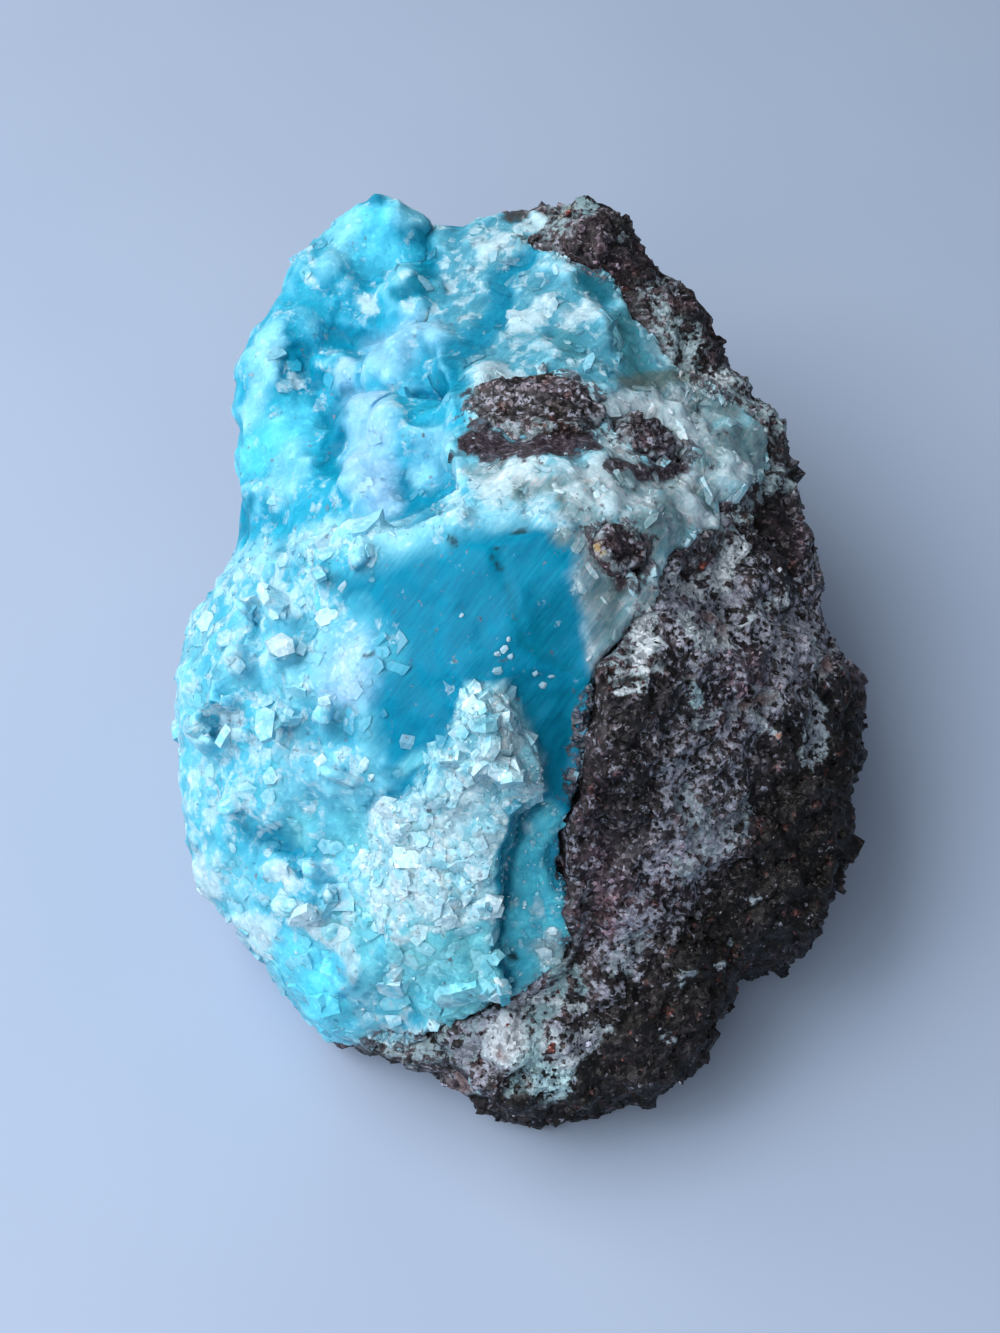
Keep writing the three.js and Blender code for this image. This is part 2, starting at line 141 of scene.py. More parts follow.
# Marks on the crust: colour, strength, half width in pixels, path in the photo
CRUST_MARKS = [
    (BRIGHT_CYAN, 0.7, 32, [(372, 236)]),
    (DEEP_BLUE, 0.9, 9, [(345, 330), (366, 337)]),
    (DEEP_BLUE, 0.9, 9, [(288, 356), (304, 354), (312, 382)]),
    (DEEP_BLUE, 0.9, 8, [(352, 394), (338, 416), (328, 449), (326, 471), (343, 474)]),
    (DEEP_BLUE, 0.9, 15, [(406, 484), (402, 508), (430, 496)]),
    (DEEP_BLUE, 0.8, 8, [(250, 500), (246, 530)]),
    # Painted shade on the right side of the knob
    (PAINTED_SHADE_BLUE, 0.9, 9, [(420, 238), (431, 256), (422, 280), (396, 294)]),
    (DEEP_BLUE, 0.9, 7, [(366, 205), (378, 205)]),
    (DEEP_BLUE, 0.9, 12, [(541, 249), (514, 270), (501, 315), (478, 336), (446, 355), (456, 390)]),
    (PROUD_BLUE, 0.7, 14, [(270, 338), (256, 380), (252, 410)]),
    # Painted highlight on the left side of the knob
    (PROUD_BLUE, 0.5, 12, [(352, 216), (340, 250)]),
    (ICE_WHITE, 0.7, 9, [(364, 300)]),
    (ICE_WHITE, 0.6, 7, [(402, 310)]),
    (ICE_WHITE, 0.6, 8, [(293, 380)]),
    (LAVENDER, 0.9, 15, [(347, 374)]),
    (LAVENDER, 0.9, 22, [(372, 412), (366, 445), (374, 495)]),
    (LAVENDER, 0.6, 20, [(385, 353), (425, 330)]),
    (PROUD_BLUE, 0.6, 16, [(432, 438), (424, 466)]),
    (PROUD_BLUE, 0.5, 18, [(285, 488), (288, 454)]),
    (BRIGHT_CYAN, 0.7, 20, [(250, 455), (300, 420)]),
    (DEEP_BLUE, 0.5, 12, [(458, 232)]),
    (ICE_WHITE, 0.8, 6, [(456, 214), (470, 212)]),
    (ICE_WHITE, 0.9, 8, [(482, 256), (505, 243)]),
    (ICE_WHITE, 0.6, 8, [(524, 226), (545, 222)]),
    (ICE_WHITE, 0.8, 7, [(520, 322), (532, 316), (545, 306)]),
    (ICE_WHITE, 0.5, 10, [(566, 318), (590, 312)]),
    (ICE_WHITE, 0.8, 13, [(486, 386), (500, 378)]),
    (DARK_TEAL, 0.9, 12, [(588, 280), (604, 288)]),
    (TEAL, 0.9, 13, [(620, 322), (630, 342), (638, 366)]),
    (TEAL, 0.6, 10, [(560, 330), (575, 350)]),
    (CREST_GREY, 0.8, 18, [(668, 342)]),
    (OLIVE, 0.9, 9, [(622, 384), (645, 380), (692, 379)]),
    (BROWN, 0.9, 4, [(508, 217), (524, 216)]),
    (BLACK, 0.8, 2.5, [(510, 240), (519, 241)]),
    (BLACK, 0.8, 2, [(495, 254)]),
    (ROCK_PURPLE, 0.9, 8, [(464, 444), (486, 432)]),
    (ROCK_PURPLE, 0.9, 7, [(536, 390), (560, 404)]),
    (ROCK_PURPLE, 0.9, 8, [(548, 436), (578, 436), (594, 447)]),
    (ROCK_PURPLE, 0.95, 15, [(482, 440), (520, 446), (566, 444)]),
    (ROCK_PURPLE, 0.9, 6, [(610, 466), (640, 474), (682, 468)]),
    (ICE_WHITE, 0.9, 11, [(614, 406), (642, 403), (668, 412), (677, 428)]),
    (ICE_WHITE, 0.8, 7, [(716, 362), (720, 378)]),
    (CREST_GREEN, 0.9, 22, [(735, 436), (756, 446)]),
    (CREST_GREEN, 0.8, 10, [(700, 402), (724, 412)]),
    (PLATE_WHITE, 0.6, 5, [(722, 428), (740, 420)]),
    (ICE_WHITE, 0.8, 13, [(484, 488), (504, 484), (520, 468)]),
    (CREST_GREEN, 0.6, 9, [(552, 490)]),
    (ICE_WHITE, 0.7, 9, [(578, 492)]),
    (ICE_WHITE, 1.0, 9, [(600, 470), (606, 486), (612, 503)]),
    (ICE_WHITE, 0.9, 4, [(624, 517)]),
    (CREST_GREEN, 0.6, 26, [(672, 512), (660, 535)]),
    (ICE_WHITE, 1.0, 9, [(687, 490), (697, 516), (711, 538)]),
    (ICE_WHITE, 0.9, 11, [(722, 478), (738, 472)]),
    (ICE_WHITE, 0.9, 7, [(738, 548), (716, 577), (684, 581), (662, 590)]),
    (CONTACT_GREY, 0.9, 8, [(646, 580), (640, 602)]),
    (LAVENDER, 0.7, 9, [(604, 536), (624, 534)]),
    (OCHRE, 0.9, 6, [(598, 551)]),
    (BROWN, 0.9, 8, [(624, 582), (618, 594)]),
    (OLIVE, 0.7, 10, [(608, 604)]),
    (CONTACT_GREY, 0.75, 17, [(588, 556), (600, 610), (606, 660)]),
    (CREST_GREEN, 0.7, 10, [(606, 590), (612, 630)]),
    (ICE_WHITE, 0.4, 8, [(572, 572), (580, 590)]),
    (ICE_WHITE, 0.5, 4, [(584, 628), (596, 648)]),
    # Painted shade: the fold line in the pool and the darker face to the right of it
    (PAINTED_SHADE_BLUE, 0.9, 5, [(508, 588), (516, 620), (527, 652), (556, 662), (578, 670)]),
    (PAINTED_SHADE_BLUE, 0.7, 22, [(545, 610), (556, 640)]),
    (PAINTED_SHADE_BLUE, 0.7, 24, [(540, 700), (562, 740)]),
    (PAINTED_SHADE_BLUE, 0.6, 14, [(574, 690), (572, 790)]),
    (DEEP_BLUE, 0.8, 12, [(428, 694), (437, 735)]),
    (LAVENDER, 0.95, 27, [(352, 655), (350, 682)]),
    (ICE_WHITE, 0.5, 16, [(350, 662)]),
    (PROUD_BLUE, 0.7, 11, [(296, 684)]),
    (DEEP_BLUE, 0.55, 8, [(315, 630)]),
    (DEEP_BLUE, 0.5, 6, [(250, 618), (254, 632)]),
    (DEEP_BLUE, 0.55, 12, [(313, 737), (345, 735), (356, 728)]),
    (DEEP_BLUE, 0.4, 12, [(232, 690), (256, 684)]),
    (PLATE_TEAL, 0.8, 14, [(417, 766)]),
    (DEEP_BLUE, 0.7, 13, [(252, 830), (285, 842), (324, 842)]),
    (DEEP_BLUE, 0.8, 8, [(290, 846), (300, 850)]),
    (PLATE_TEAL, 0.7, 16, [(304, 826)]),
    (PLATE_TEAL, 0.7, 22, [(352, 828)]),
    (DEEP_BLUE, 0.8, 6, [(374, 808), (404, 792), (424, 772)]),
    (ICE_WHITE, 0.8, 12, [(203, 870), (206, 890)]),
    (ICE_WHITE, 0.7, 12, [(250, 922), (266, 940)]),
    (ICE_WHITE, 0.8, 7, [(280, 876), (283, 886)]),
    (ICE_WHITE, 0.7, 9, [(302, 912), (340, 945), (345, 977)]),
    (BRIGHT_CYAN, 0.9, 26, [(318, 978), (334, 1018)]),
    (BRIGHT_CYAN, 0.6, 14, [(300, 940), (282, 960)]),
    (MID_BLUE, 0.6, 9, [(378, 930), (384, 1000)]),
    (PLATE_TEAL, 0.9, 30, [(420, 965), (452, 962), (472, 950)]),
    (ICE_WHITE, 0.8, 10, [(384, 812), (390, 830)]),
    (ICE_WHITE, 0.8, 6, [(398, 857), (399, 896)]),
    (ICE_WHITE, 0.7, 5, [(433, 868), (444, 886)]),
    (ICE_WHITE, 0.7, 7, [(360, 854)]),
    (ICE_WHITE, 0.5, 9, [(494, 700), (512, 742)]),
    (ICE_WHITE, 0.6, 7, [(430, 830), (470, 800)]),
    (ICE_WHITE, 0.5, 5, [(396, 940), (440, 924), (470, 920), (490, 902)]),
    (ICE_WHITE, 0.5, 6, [(392, 960), (388, 990)]),
    # Painted shadow along the cliff at the plate's right edge
    (PAINTED_SHADE_BLUE, 0.95, 5, [(540, 808), (520, 824), (506, 852), (501, 895), (504, 925), (500, 955),
                          (512, 985)]),
    (DEEP_BLUE, 0.8, 11, [(560, 850), (566, 890)]),
    (ICE_WHITE, 0.6, 6, [(524, 832)]),
    (ICE_WHITE, 0.9, 6, [(551, 935), (549, 958)]),
    (CREST_GREY, 0.8, 12, [(545, 950), (566, 965)]),
    (BLACK, 0.9, 5, [(516, 955)]),
    (PLATE_TEAL, 0.8, 16, [(440, 1012), (470, 1004)]),
    (ICE_WHITE, 0.7, 6, [(498, 988)]),
    (BLACK, 0.9, 3, [(450, 538), (458, 544)]),
    (BLACK, 0.9, 3, [(511, 529), (517, 531)]),
    (BLACK, 0.9, 3, [(496, 553)]),
    (BLACK, 0.8, 2, [(496, 566), (503, 572)]),
    (BLACK, 0.8, 1.5, [(372, 660), (380, 656)]),
    (BLACK, 0.7, 1.5, [(322, 641)]),
]

# Marks on the rock, in the same form
ROCK_MARKS = [
    (VEIN_WHITE, 1.2, 10, [(639, 588), (637, 625), (637, 650), (643, 668)]),
    (VEIN_WHITE, 1.2, 9, [(681, 626), (698, 645), (718, 634), (736, 634)]),
    (VEIN_WHITE, 1.3, 10, [(738, 548), (718, 580), (684, 582)]),
    (VEIN_WHITE, 0.8, 6, [(752, 620)]),
    (VEIN_WHITE, 0.7, 5, [(762, 604), (780, 592)]),
    (VEIN_CYAN, 0.8, 7, [(692, 686), (697, 694)]),
    (OCHRE, 0.8, 3, [(673, 685)]),
    (VEIN_WHITE, 0.95, 3, [(616, 692), (642, 685)]),
    (VEIN_GREY, 0.9, 5, [(664, 768), (692, 762)]),
    (VEIN_GREY, 0.8, 8, [(700, 722), (712, 716)]),
    (VEIN_WHITE, 0.8, 6, [(762, 722), (764, 736)]),
    (ORANGE, 0.9, 3, [(772, 741)]),
    (VEIN_GREY, 0.8, 9, [(812, 650), (816, 668)]),
    (VEIN_GREY, 0.6, 10, [(812, 700), (818, 740), (812, 754)]),
    (RUST, 0.7, 8, [(722, 618), (736, 628)]),
    (RUST, 0.7, 8, [(748, 704), (766, 700)]),
    (RUST, 0.7, 8, [(832, 655), (834, 672)]),
    (RUST, 0.6, 6, [(686, 670)]),
    (VEIN_GREY, 0.5, 14, [(690, 800), (704, 850), (680, 866)]),
    (VEIN_GREY, 0.5, 12, [(740, 806), (724, 836)]),
    (VEIN_GREY, 0.5, 12, [(640, 938), (624, 966)]),
    (VEIN_GREY, 0.8, 5, [(684, 982)]),
    (VEIN_GREY, 0.8, 5, [(666, 1041)]),
    (VEIN_GREY, 0.8, 4, [(730, 949)]),
    (VEIN_GREY, 0.8, 4, [(715, 968)]),
    (VEIN_GREY, 0.8, 4, [(756, 905)]),
    (VEIN_CYAN, 0.95, 20, [(520, 1044), (536, 1060), (552, 1074)]),
    (VEIN_WHITE, 1.2, 12, [(498, 1030), (520, 1022), (500, 1050)]),
    (VEIN_WHITE, 0.8, 8, [(566, 1060), (584, 1036), (604, 1032)]),
    (VEIN_WHITE, 0.8, 12, [(536, 1034), (556, 1050)]),
    (VEIN_GREY, 0.8, 10, [(572, 1040), (596, 1044)]),
    (VEIN_CYAN, 0.8, 6, [(466, 1076), (470, 1086)]),
    (VEIN_GREY, 0.8, 8, [(478, 1040), (460, 1056)]),
    (CREST_GREEN, 0.8, 8, [(514, 1080), (560, 975), (580, 990)]),
    (VEIN_WHITE, 0.7, 4, [(530, 1000), (556, 1004), (580, 1008)]),
    (RUST, 0.8, 5, [(503, 1051)]),
    (RUST, 0.7, 7, [(452, 1080), (460, 1092)]),
    (RUST, 0.7, 5, [(527, 1076)]),
    (CREST_GREEN, 0.7, 8, [(576, 204), (586, 208)]),
    (OCHRE, 0.6, 4, [(566, 209)]),
    (VEIN_GREY, 0.7, 5, [(624, 240)]),
    (VEIN_GREY, 0.8, 7, [(660, 284), (674, 284)]),
    (VEIN_WHITE, 0.8, 6, [(716, 364), (722, 380)]),
    (VEIN_GREY, 0.6, 5, [(480, 425), (500, 432)]),
    (OCHRE, 0.8, 5, [(599, 550)]),
]
# Parts of the rock with more pale spots: half width and path. The darker parts have a strength first.
ROCK_PALE = [
    (45, [(700, 620), (790, 600), (820, 680), (760, 720)]),
    (40, [(690, 760), (720, 830), (670, 900), (640, 960)]),
    (40, [(500, 1040), (590, 1030)]),
]
ROCK_SHADE = [
    (0.95, 70, [(850, 740), (810, 860), (730, 970), (660, 1060), (580, 1100)]),
    (0.3, 24, [(632, 690), (628, 800)]),
    (0.4, 30, [(600, 230), (630, 260)]),
    (0.5, 26, [(670, 290), (700, 340)]),
    (0.8, 12, [(772, 500), (784, 590)]),
]
# Shares of frost, fibres and facets in the zones of the crust
FROST = {"lobe": 0.46, "shelf": 0.3, "top": 0.38, "crest": 0.52, "pool": -0.3, "plate": 0.66, "strip": 0.25}
FIBRE = {"pool": 0.6, "crest": 0.6, "top": 0.4, "strip": 0.3, "shelf": 0.1, "lobe": 0.15}
FACET = {"lobe": 0.7, "plate": 0.9, "strip": 0.7, "crest": 0.4, "top": 0.4, "shelf": 0.55, "pool": 0.05}
# Where the crust meets the rock, the stretch of it with bare rock, and the pale ridge in front of the shelf
CONTACT = [
    (563, 200), (556, 222), (572, 255), (610, 275), (640, 300), (668, 330), (690, 352), (694, 380),
    (740, 396), (781, 436), (784, 478), (752, 492), (735, 520), (700, 545), (660, 590), (635, 620),
    (612, 668), (600, 700), (592, 750), (585, 820), (580, 880), (583, 930), (560, 975), (515, 1005),
    (470, 1030), (430, 1045), (372, 1047),
]
BARE_CONTACT = [(600, 730), (590, 900)]
RIDGE = [(230, 566), (300, 549), (380, 529), (440, 514), (500, 508), (550, 506)]

# Larger single crystals: x, y, half width and half thickness in pixels, turn in degrees, whiteness
CRYSTALS = [
    (275, 647, 14, 11, 30, 1.0), (204, 620, 13, 10, 60, 0.8), (222, 637, 13, 9, 20, 0.5),
    (324, 614, 12, 8, 10, 0.8), (274, 617, 8, 5, 80, 0.6), (250, 622, 6, 10, 0, 0.1),
    (403, 744, 11, 8, -10, 0.3), (318, 758, 8, 5, 40, 0.9), (359, 768, 5, 9, -30, 0.9),
    (369, 782, 4, 7, -30, 0.9), (343, 729, 3, 9, 0, 0.8), (466, 702, 11, 7, 25, 1.0),
    (474, 684, 8, 6, 40, 0.9), (502, 675, 6, 4, 0, 0.7), (384, 812, 13, 11, 10, 0.9),
    (362, 853, 9, 7, 0, 0.9), (228, 850, 6, 5, 0, 1.0), (281, 876, 7, 8, 0, 0.8),
    (211, 713, 5, 4, 20, 0.9), (240, 668, 9, 7, 50, 0.4), (262, 700, 10, 8, 15, 0.3),
    (290, 712, 9, 6, 70, 0.4), (206, 770, 11, 9, 40, 0.5), (238, 790, 12, 9, 10, 0.3),
    (268, 776, 9, 7, 55, 0.3), (330, 700, 8, 6, 30, 0.5), (302, 650, 7, 6, 60, 0.5),
    (298, 600, 8, 6, 20, 0.5), (256, 586, 9, 6, 75, 0.5), (340, 582, 7, 5, 25, 0.7),
    (454, 1004, 22, 11, 5, 0.5), (388, 1021, 9, 8, 30, 0.4), (497, 990, 5, 9, 20, 1.0),
    (430, 1024, 10, 7, 60, 0.5), (551, 936, 5, 5, 10, 1.0), (549, 957, 7, 8, 40, 0.9),
    (498, 648, 4, 3, 20, 0.8), (506, 654, 6, 4, 50, 0.9), (515, 657, 4, 3, 10, 0.7),
    (510, 645, 3, 2, 70, 0.8), (539, 679, 4, 3, 30, 0.9), (546, 688, 5, 4, 60, 0.8),
    (551, 680, 3, 2, 0, 0.7), (459, 610, 3, 2, 40, 0.6),
]


def face_coordinates(points):
    """Points of the standing stone as u right, v up and w out of the display face."""
    x, y, z = (points - FACE_CENTRE).T
    cos, sin = math.cos(FACE_LEAN), math.sin(FACE_LEAN)
    return np.stack([x, cos * y + sin * z, cos * z - sin * y], axis=1)


def photo_pixels(points):
    """Where the camera sees each point, in the photo's pixels."""
    u, v, w = face_coordinates(points).T
    scale = FOCAL_PIXELS / (EYE_DISTANCE - w)
    return np.stack([PHOTO_SIZE[0] / 2 + scale * u, PHOTO_SIZE[1] / 2 - scale * v], axis=1)


def unit(vectors):
    return vectors / np.linalg.norm(vectors, axis=-1, keepdims=True)


def smoothstep(low, high, x):
    share = np.clip((x - low) / (high - low), 0, 1)
    return share * share * (3 - 2 * share)


def lattice(cell, seed):
    """Repeatable value from 0 to 1 at each whole-numbered cell."""
    mixed = cell[:, 0] * 73856093 ^ cell[:, 1] * 19349663 ^ cell[:, 2] * 83492791 ^ seed * 2654435761
    mixed = (mixed ^ (mixed >> 13)) * 1274126177 & 0x7FFFFFFF
    mixed = (mixed ^ (mixed >> 11)) * 668265263 & 0x7FFFFFFF
    return mixed / 0x7FFFFFFF


CORNERS = list(itertools.product((0, 1), repeat=3))
NEIGHBOURS = list(itertools.product((-1, 0, 1), repeat=3))


def lumps(points, size, seed):
    """Smooth noise from -1 to 1 with lumps of about the given size."""
    place = points / size
    cell = np.floor(place).astype(np.int64)
    ease = smoothstep(0, 1, place - cell)
    total = np.zeros(len(points))
    for corner in CORNERS:
        share = np.prod(np.where(corner, ease, 1 - ease), axis=1)
        total += share * (2 * lattice(cell + corner, seed) - 1)
    return total


def layered_lumps(points, size, seed, layers=3):
    return sum(lumps(points, size / 2**i, seed + i) / 2**i for i in range(layers))


def nearest_seed(points, size, seed):
    """For each point, the vector from the nearest random seed, in cells, and the seed's own cell."""
    place = points / size
    cell = np.floor(place).astype(np.int64)
    best = np.full(len(points), np.inf)
    offset = np.zeros_like(points)
    owner = np.zeros_like(cell)
    for step in NEIGHBOURS:
        near = cell + step
        centre = near + np.stack([lattice(near, seed + axis) for axis in range(3)], axis=1)
        away = place - centre
        distance = np.linalg.norm(away, axis=1)
        closer = distance < best
        best[closer] = distance[closer]
        offset[closer] = away[closer]
        owner[closer] = near[closer]
    return offset, owner


def facets(points, size, seed):
    """Height of flat tilted facets, like the faces of close-set crystals, from about -0.5 to 0.5."""
    offset, owner = nearest_seed(points, size, seed)
    tilt = np.stack([lattice(owner, seed + 10 + axis) for axis in range(3)], axis=1) * 2 - 1
    return np.sum(offset * tilt, axis=1) + 0.5 * (lattice(owner, seed + 20) - 0.5)


def tips(points, size, seed):
    """Height of close-set six-sided crystal tips that overlap, from about 0 in the clefts to 1."""
    place = points / size
    cell = np.floor(place).astype(np.int64)
    highest = np.zeros(len(points))
    for step in NEIGHBOURS:
        near = cell + step
        random = [lattice(near, seed + i) for i in range(6)]
        away = place - near - np.stack(random[:3], axis=1)
        axis = unit(np.stack(random[3:], axis=1) - 0.5 + 1e-3)
        along = np.sum(away * axis, axis=1)
        side = unit(np.cross(axis, (0.3, 0.5, 0.8)))
        x = np.abs(np.sum(away * side, axis=1))
        y = np.abs(np.sum(away * np.cross(axis, side), axis=1))
        reach = np.maximum(np.maximum(x, 0.5 * x + 0.866 * y), 0.8 * np.abs(along))
        highest = np.maximum(highest, 1 - reach)
    return highest


def segment_distance(at, start, end):
    start, along = np.array(start, float), np.array(end, float) - np.array(start, float)
    share = np.clip((at - start) @ along / (along @ along), 0, 1)
    return np.linalg.norm(at - start - share[:, None] * along, axis=1)


def path_distance(at, path):
    if len(path) == 1:
        return np.linalg.norm(at - np.array(path[0], float), axis=1)
    return np.min([segment_distance(at, start, end) for start, end in zip(path, path[1:])], axis=0)


def on_path(at, path, half_width, soft=0.6):
    """Weight of a stroke along a path, which fades over a share of its half width."""
    return 1 - smoothstep(1 - soft, 1 + soft, path_distance(at, path) / half_width)


def in_zone(at, outline, soft, grow=0.0):
    """Weight inside an outline grown by some pixels, which fades on both sides of its edge."""
    inside = np.zeros(len(at), bool)
    for start, end in zip(outline, outline[1:] + outline[:1]):
        crosses = (start[1] > at[:, 1]) != (end[1] > at[:, 1])
        rise = end[1] - start[1] or 1
        inside ^= crosses & (at[:, 0] < start[0] + (at[:, 1] - start[1]) / rise * (end[0] - start[0]))
    nearest = path_distance(at, outline + outline[:1])
    return smoothstep(-soft, soft, np.where(inside, nearest, -nearest) + grow)


def blend(colours, colour, weight):
    return colours + (colour - colours) * np.clip(weight, 0, 1)[:, None]


def fine_mesh(node, voxel, ease):
    """A CAD node remeshed evenly, with the edges of its facets eased."""
    work = bpy.data.objects.new("work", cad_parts[node].data.copy())
    bpy.context.scene.collection.objects.link(work)
    remesh = work.modifiers.new("remesh", "REMESH")
    remesh.mode = "VOXEL"
    remesh.voxel_size = voxel * MM
    smooth = work.modifiers.new("smooth", "SMOOTH")
    smooth.iterations = ease
    mesh = bpy.data.meshes.new_from_object(work.evaluated_get(bpy.context.evaluated_depsgraph_get()))
    bpy.data.objects.remove(work)
    mesh.polygons.foreach_set("use_smooth", np.ones(len(mesh.polygons), bool))
    mesh.materials.clear()
    return mesh


def read_values(rows, field, width, kind=np.float32):
    flat = np.empty(len(rows) * width, kind)
    rows.foreach_get(field, flat)
    return flat.reshape(-1, width)


def read_points(mesh):
    return read_values(mesh.vertices, "co", 3).astype(float) / MM


def read_normals(mesh):
    return read_values(mesh.vertex_normals, "vector", 3).astype(float)


def read_edges(mesh):
    return read_values(mesh.edges, "vertices", 2, np.int32)


def write_points(mesh, points):
    mesh.vertices.foreach_set("co", (points * MM).astype(np.float32).ravel())
    mesh.update()


def averaged(values, edges, rounds):
    """Values smoothed over the mesh's edges."""
    count = np.bincount(edges.ravel(), minlength=len(values))[:, None] + 1
    for _ in range(rounds):
        total = values.copy()
        for axis in range(values.shape[1]):
            total[:, axis] += np.bincount(edges[:, 0], values[edges[:, 1], axis], len(values))
            total[:, axis] += np.bincount(edges[:, 1], values[edges[:, 0], axis], len(values))
        values = total / count
    return values


def cavity(mesh, rounds):
    """How deep each vertex lies below its surroundings: above 0 in pits, below 0 on knobs."""
    points = read_points(mesh)
    return np.sum((averaged(points, read_edges(mesh), rounds) - points) * read_normals(mesh), axis=1)


def with_alpha(colours, alpha):
    return np.concatenate([colours, np.broadcast_to(alpha, len(colours))[:, None]], axis=1)


def store_colours(mesh, name, colours):
    """A colour attribute, whose alpha holds a fourth value that the material reads."""
    attribute = mesh.attributes.new(name, "FLOAT_COLOR", "POINT")
    attribute.data.foreach_set("color", colours.astype(np.float32).ravel())


def add_piece(name, mesh, look, slot, *replaced):
    """A piece of the stone with its material, which may stand for a CAD node."""
    mesh.materials.append(look)
    piece = bpy.data.objects.new(name, mesh)
    bpy.context.scene.collection.objects.link(piece)
    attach(piece, "root")
    if replaced:
        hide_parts(*replaced)


class Nodes:
    """Short forms for building a material's nodes."""

    def __init__(self, name):
        self.material = bpy.data.materials.new(name)
        self.material.use_nodes = True
        self.tree = self.material.node_tree
        self.shader = self.tree.nodes["Principled BSDF"]

    def feed(self, socket, value):
        if isinstance(value, bpy.types.NodeSocket):
            self.tree.links.new(value, socket)
        else:
            socket.default_value = value

    def add(self, kind, inputs, **settings):
        node = self.tree.nodes.new(kind)
        for key, value in settings.items():
            setattr(node, key, value)
        for key, value in inputs.items():
            self.feed(node.inputs[key], value)
        return node

    def set(self, **inputs):
        for key, value in inputs.items():
            self.feed(self.shader.inputs[key.replace("_", " ")], value)

    def place(self, stretch=None):
        """Object coordinates, or those stretched by the given factors along the display face."""
        place = self.add("ShaderNodeTexCoord", {}).outputs["Object"]
        if stretch is None:
            return place
        turned = self.add("ShaderNodeMapping", {"Vector": place, "Rotation": FIBRE_TURN})
        return self.add("ShaderNodeMapping", {"Vector": turned.outputs[0], "Scale": stretch}).outputs[0]

    def noise(self, size, detail=4.0, stretch=None):
        inputs = {"Vector": self.place(stretch), "Scale": 1 / (size * MM), "Detail": detail}
        return self.add("ShaderNodeTexNoise", {**inputs, "Roughness": 0.6}).outputs["Fac"]

    def bent(self, size, reach):
        """Object coordinates pushed about by noise, so that cells get crooked edges."""
        inputs = {"Vector": self.place(), "Scale": 1 / (size * MM), "Detail": 2.0}
        push = self.add("ShaderNodeTexNoise", inputs).outputs["Color"]
        push = self.vector("SUBTRACT", push, (0.5, 0.5, 0.5))
        push = self.vector("MULTIPLY", push, (2 * reach * MM,) * 3)
        return self.vector("ADD", self.place(), push)

    def cells(self, size, place, feature="F1"):
        """Random cells, with outputs for each one's distance, colour and position."""
        inputs = {"Vector": place, "Scale": 1 / (size * MM)}
        return self.add("ShaderNodeTexVoronoi", inputs, feature=feature).outputs

    def channel(self, colour, name):
        return self.add("ShaderNodeSeparateColor", {"Color": colour}).outputs[name]

    def attribute(self, name):
        return self.add("ShaderNodeAttribute", {}, attribute_name=name).outputs

    def ramp(self, factor, stops):
        node = self.add("ShaderNodeValToRGB", {"Fac": factor})
        while len(node.color_ramp.elements) < len(stops):
            node.color_ramp.elements.new(1.0)
        for element, (position, colour) in zip(node.color_ramp.elements, stops):
            element.position = position
            element.color = (*colour, 1.0)
        return node.outputs["Color"]

    def span(self, value, low, high, out_low, out_high):
        inputs = {"Value": value, "From Min": low, "From Max": high, "To Min": out_low, "To Max": out_high}
        return self.add("ShaderNodeMapRange", inputs).outputs["Result"]

    def mix(self, factor, a, b, blend_type="MIX"):
        node = self.add("ShaderNodeMix", {}, data_type="RGBA", blend_type=blend_type)
        sockets = {socket.identifier: socket for socket in node.inputs}
        self.feed(sockets["Factor_Float"], factor)
        self.feed(sockets["A_Color"], a)
        self.feed(sockets["B_Color"], b)
        return next(socket for socket in node.outputs if socket.identifier == "Result_Color")

    def math(self, operation, a, b):
        return self.add("ShaderNodeMath", {0: a, 1: b}, operation=operation).outputs[0]

    def raised(self, value, share, most):
        """A value raised by a share of the given amount."""
        return self.math("ADD", value, self.math("MULTIPLY", share, most))

    def uneven(self, value, cells, channel, reach):
        """A value made a little higher or lower in each cell."""
        change = self.span(self.channel(cells["Color"], channel), 0.0, 1.0, -reach, reach)
        return self.math("ADD", value, change)

    def vector(self, operation, a, b, output="Vector"):
        return self.add("ShaderNodeVectorMath", {0: a, 1: b}, operation=operation).outputs[output]

    def bump(self, height, strength, depth, normal=None):
        inputs = {"Height": height, "Strength": strength, "Distance": depth * MM}
        if normal is not None:
            inputs["Normal"] = normal
        return self.add("ShaderNodeBump", inputs).outputs["Normal"]

    def facet_bump(self, cells, place, strength, normal, share=1.0):
        """Flat facets over random cells, each with a tilt of its own, as steep as the share says."""
        away = self.vector("SUBTRACT", place, cells["Position"])
        tilt = self.vector("SUBTRACT", cells["Color"], (0.5, 0.5, 0.5))
        height = self.math("MULTIPLY", self.vector("DOT_PRODUCT", away, tilt, "Value"), share)
        return self.bump(height, strength, 1 / MM, normal)


FIBRE_TURN = (-FACE_LEAN, 0.0, math.radians(38))

# Tones that a material multiplies its colours by, over random values from 0 to 1
CLOUD_TONES = [(0.32, (0.72, 0.9, 0.93)), (0.68, (1.15, 1.04, 1.02))]
BLOCK_TONES = [(0.0, (0.8, 0.93, 0.95)), (1.0, (1.24, 1.07, 1.04))]
CHIP_TONES = [(0.0, (0.84, 0.94, 0.96)), (1.0, (1.16, 1.05, 1.02))]
# Sugar grains of random tone, whose brightest few are painted glints
SUGAR_AND_GLINT_TONES = [(0.0, (0.86, 0.94, 0.96)), (0.88, (1.06, 1.03, 1.02)), (1.0, (1.6, 1.3, 1.22))]
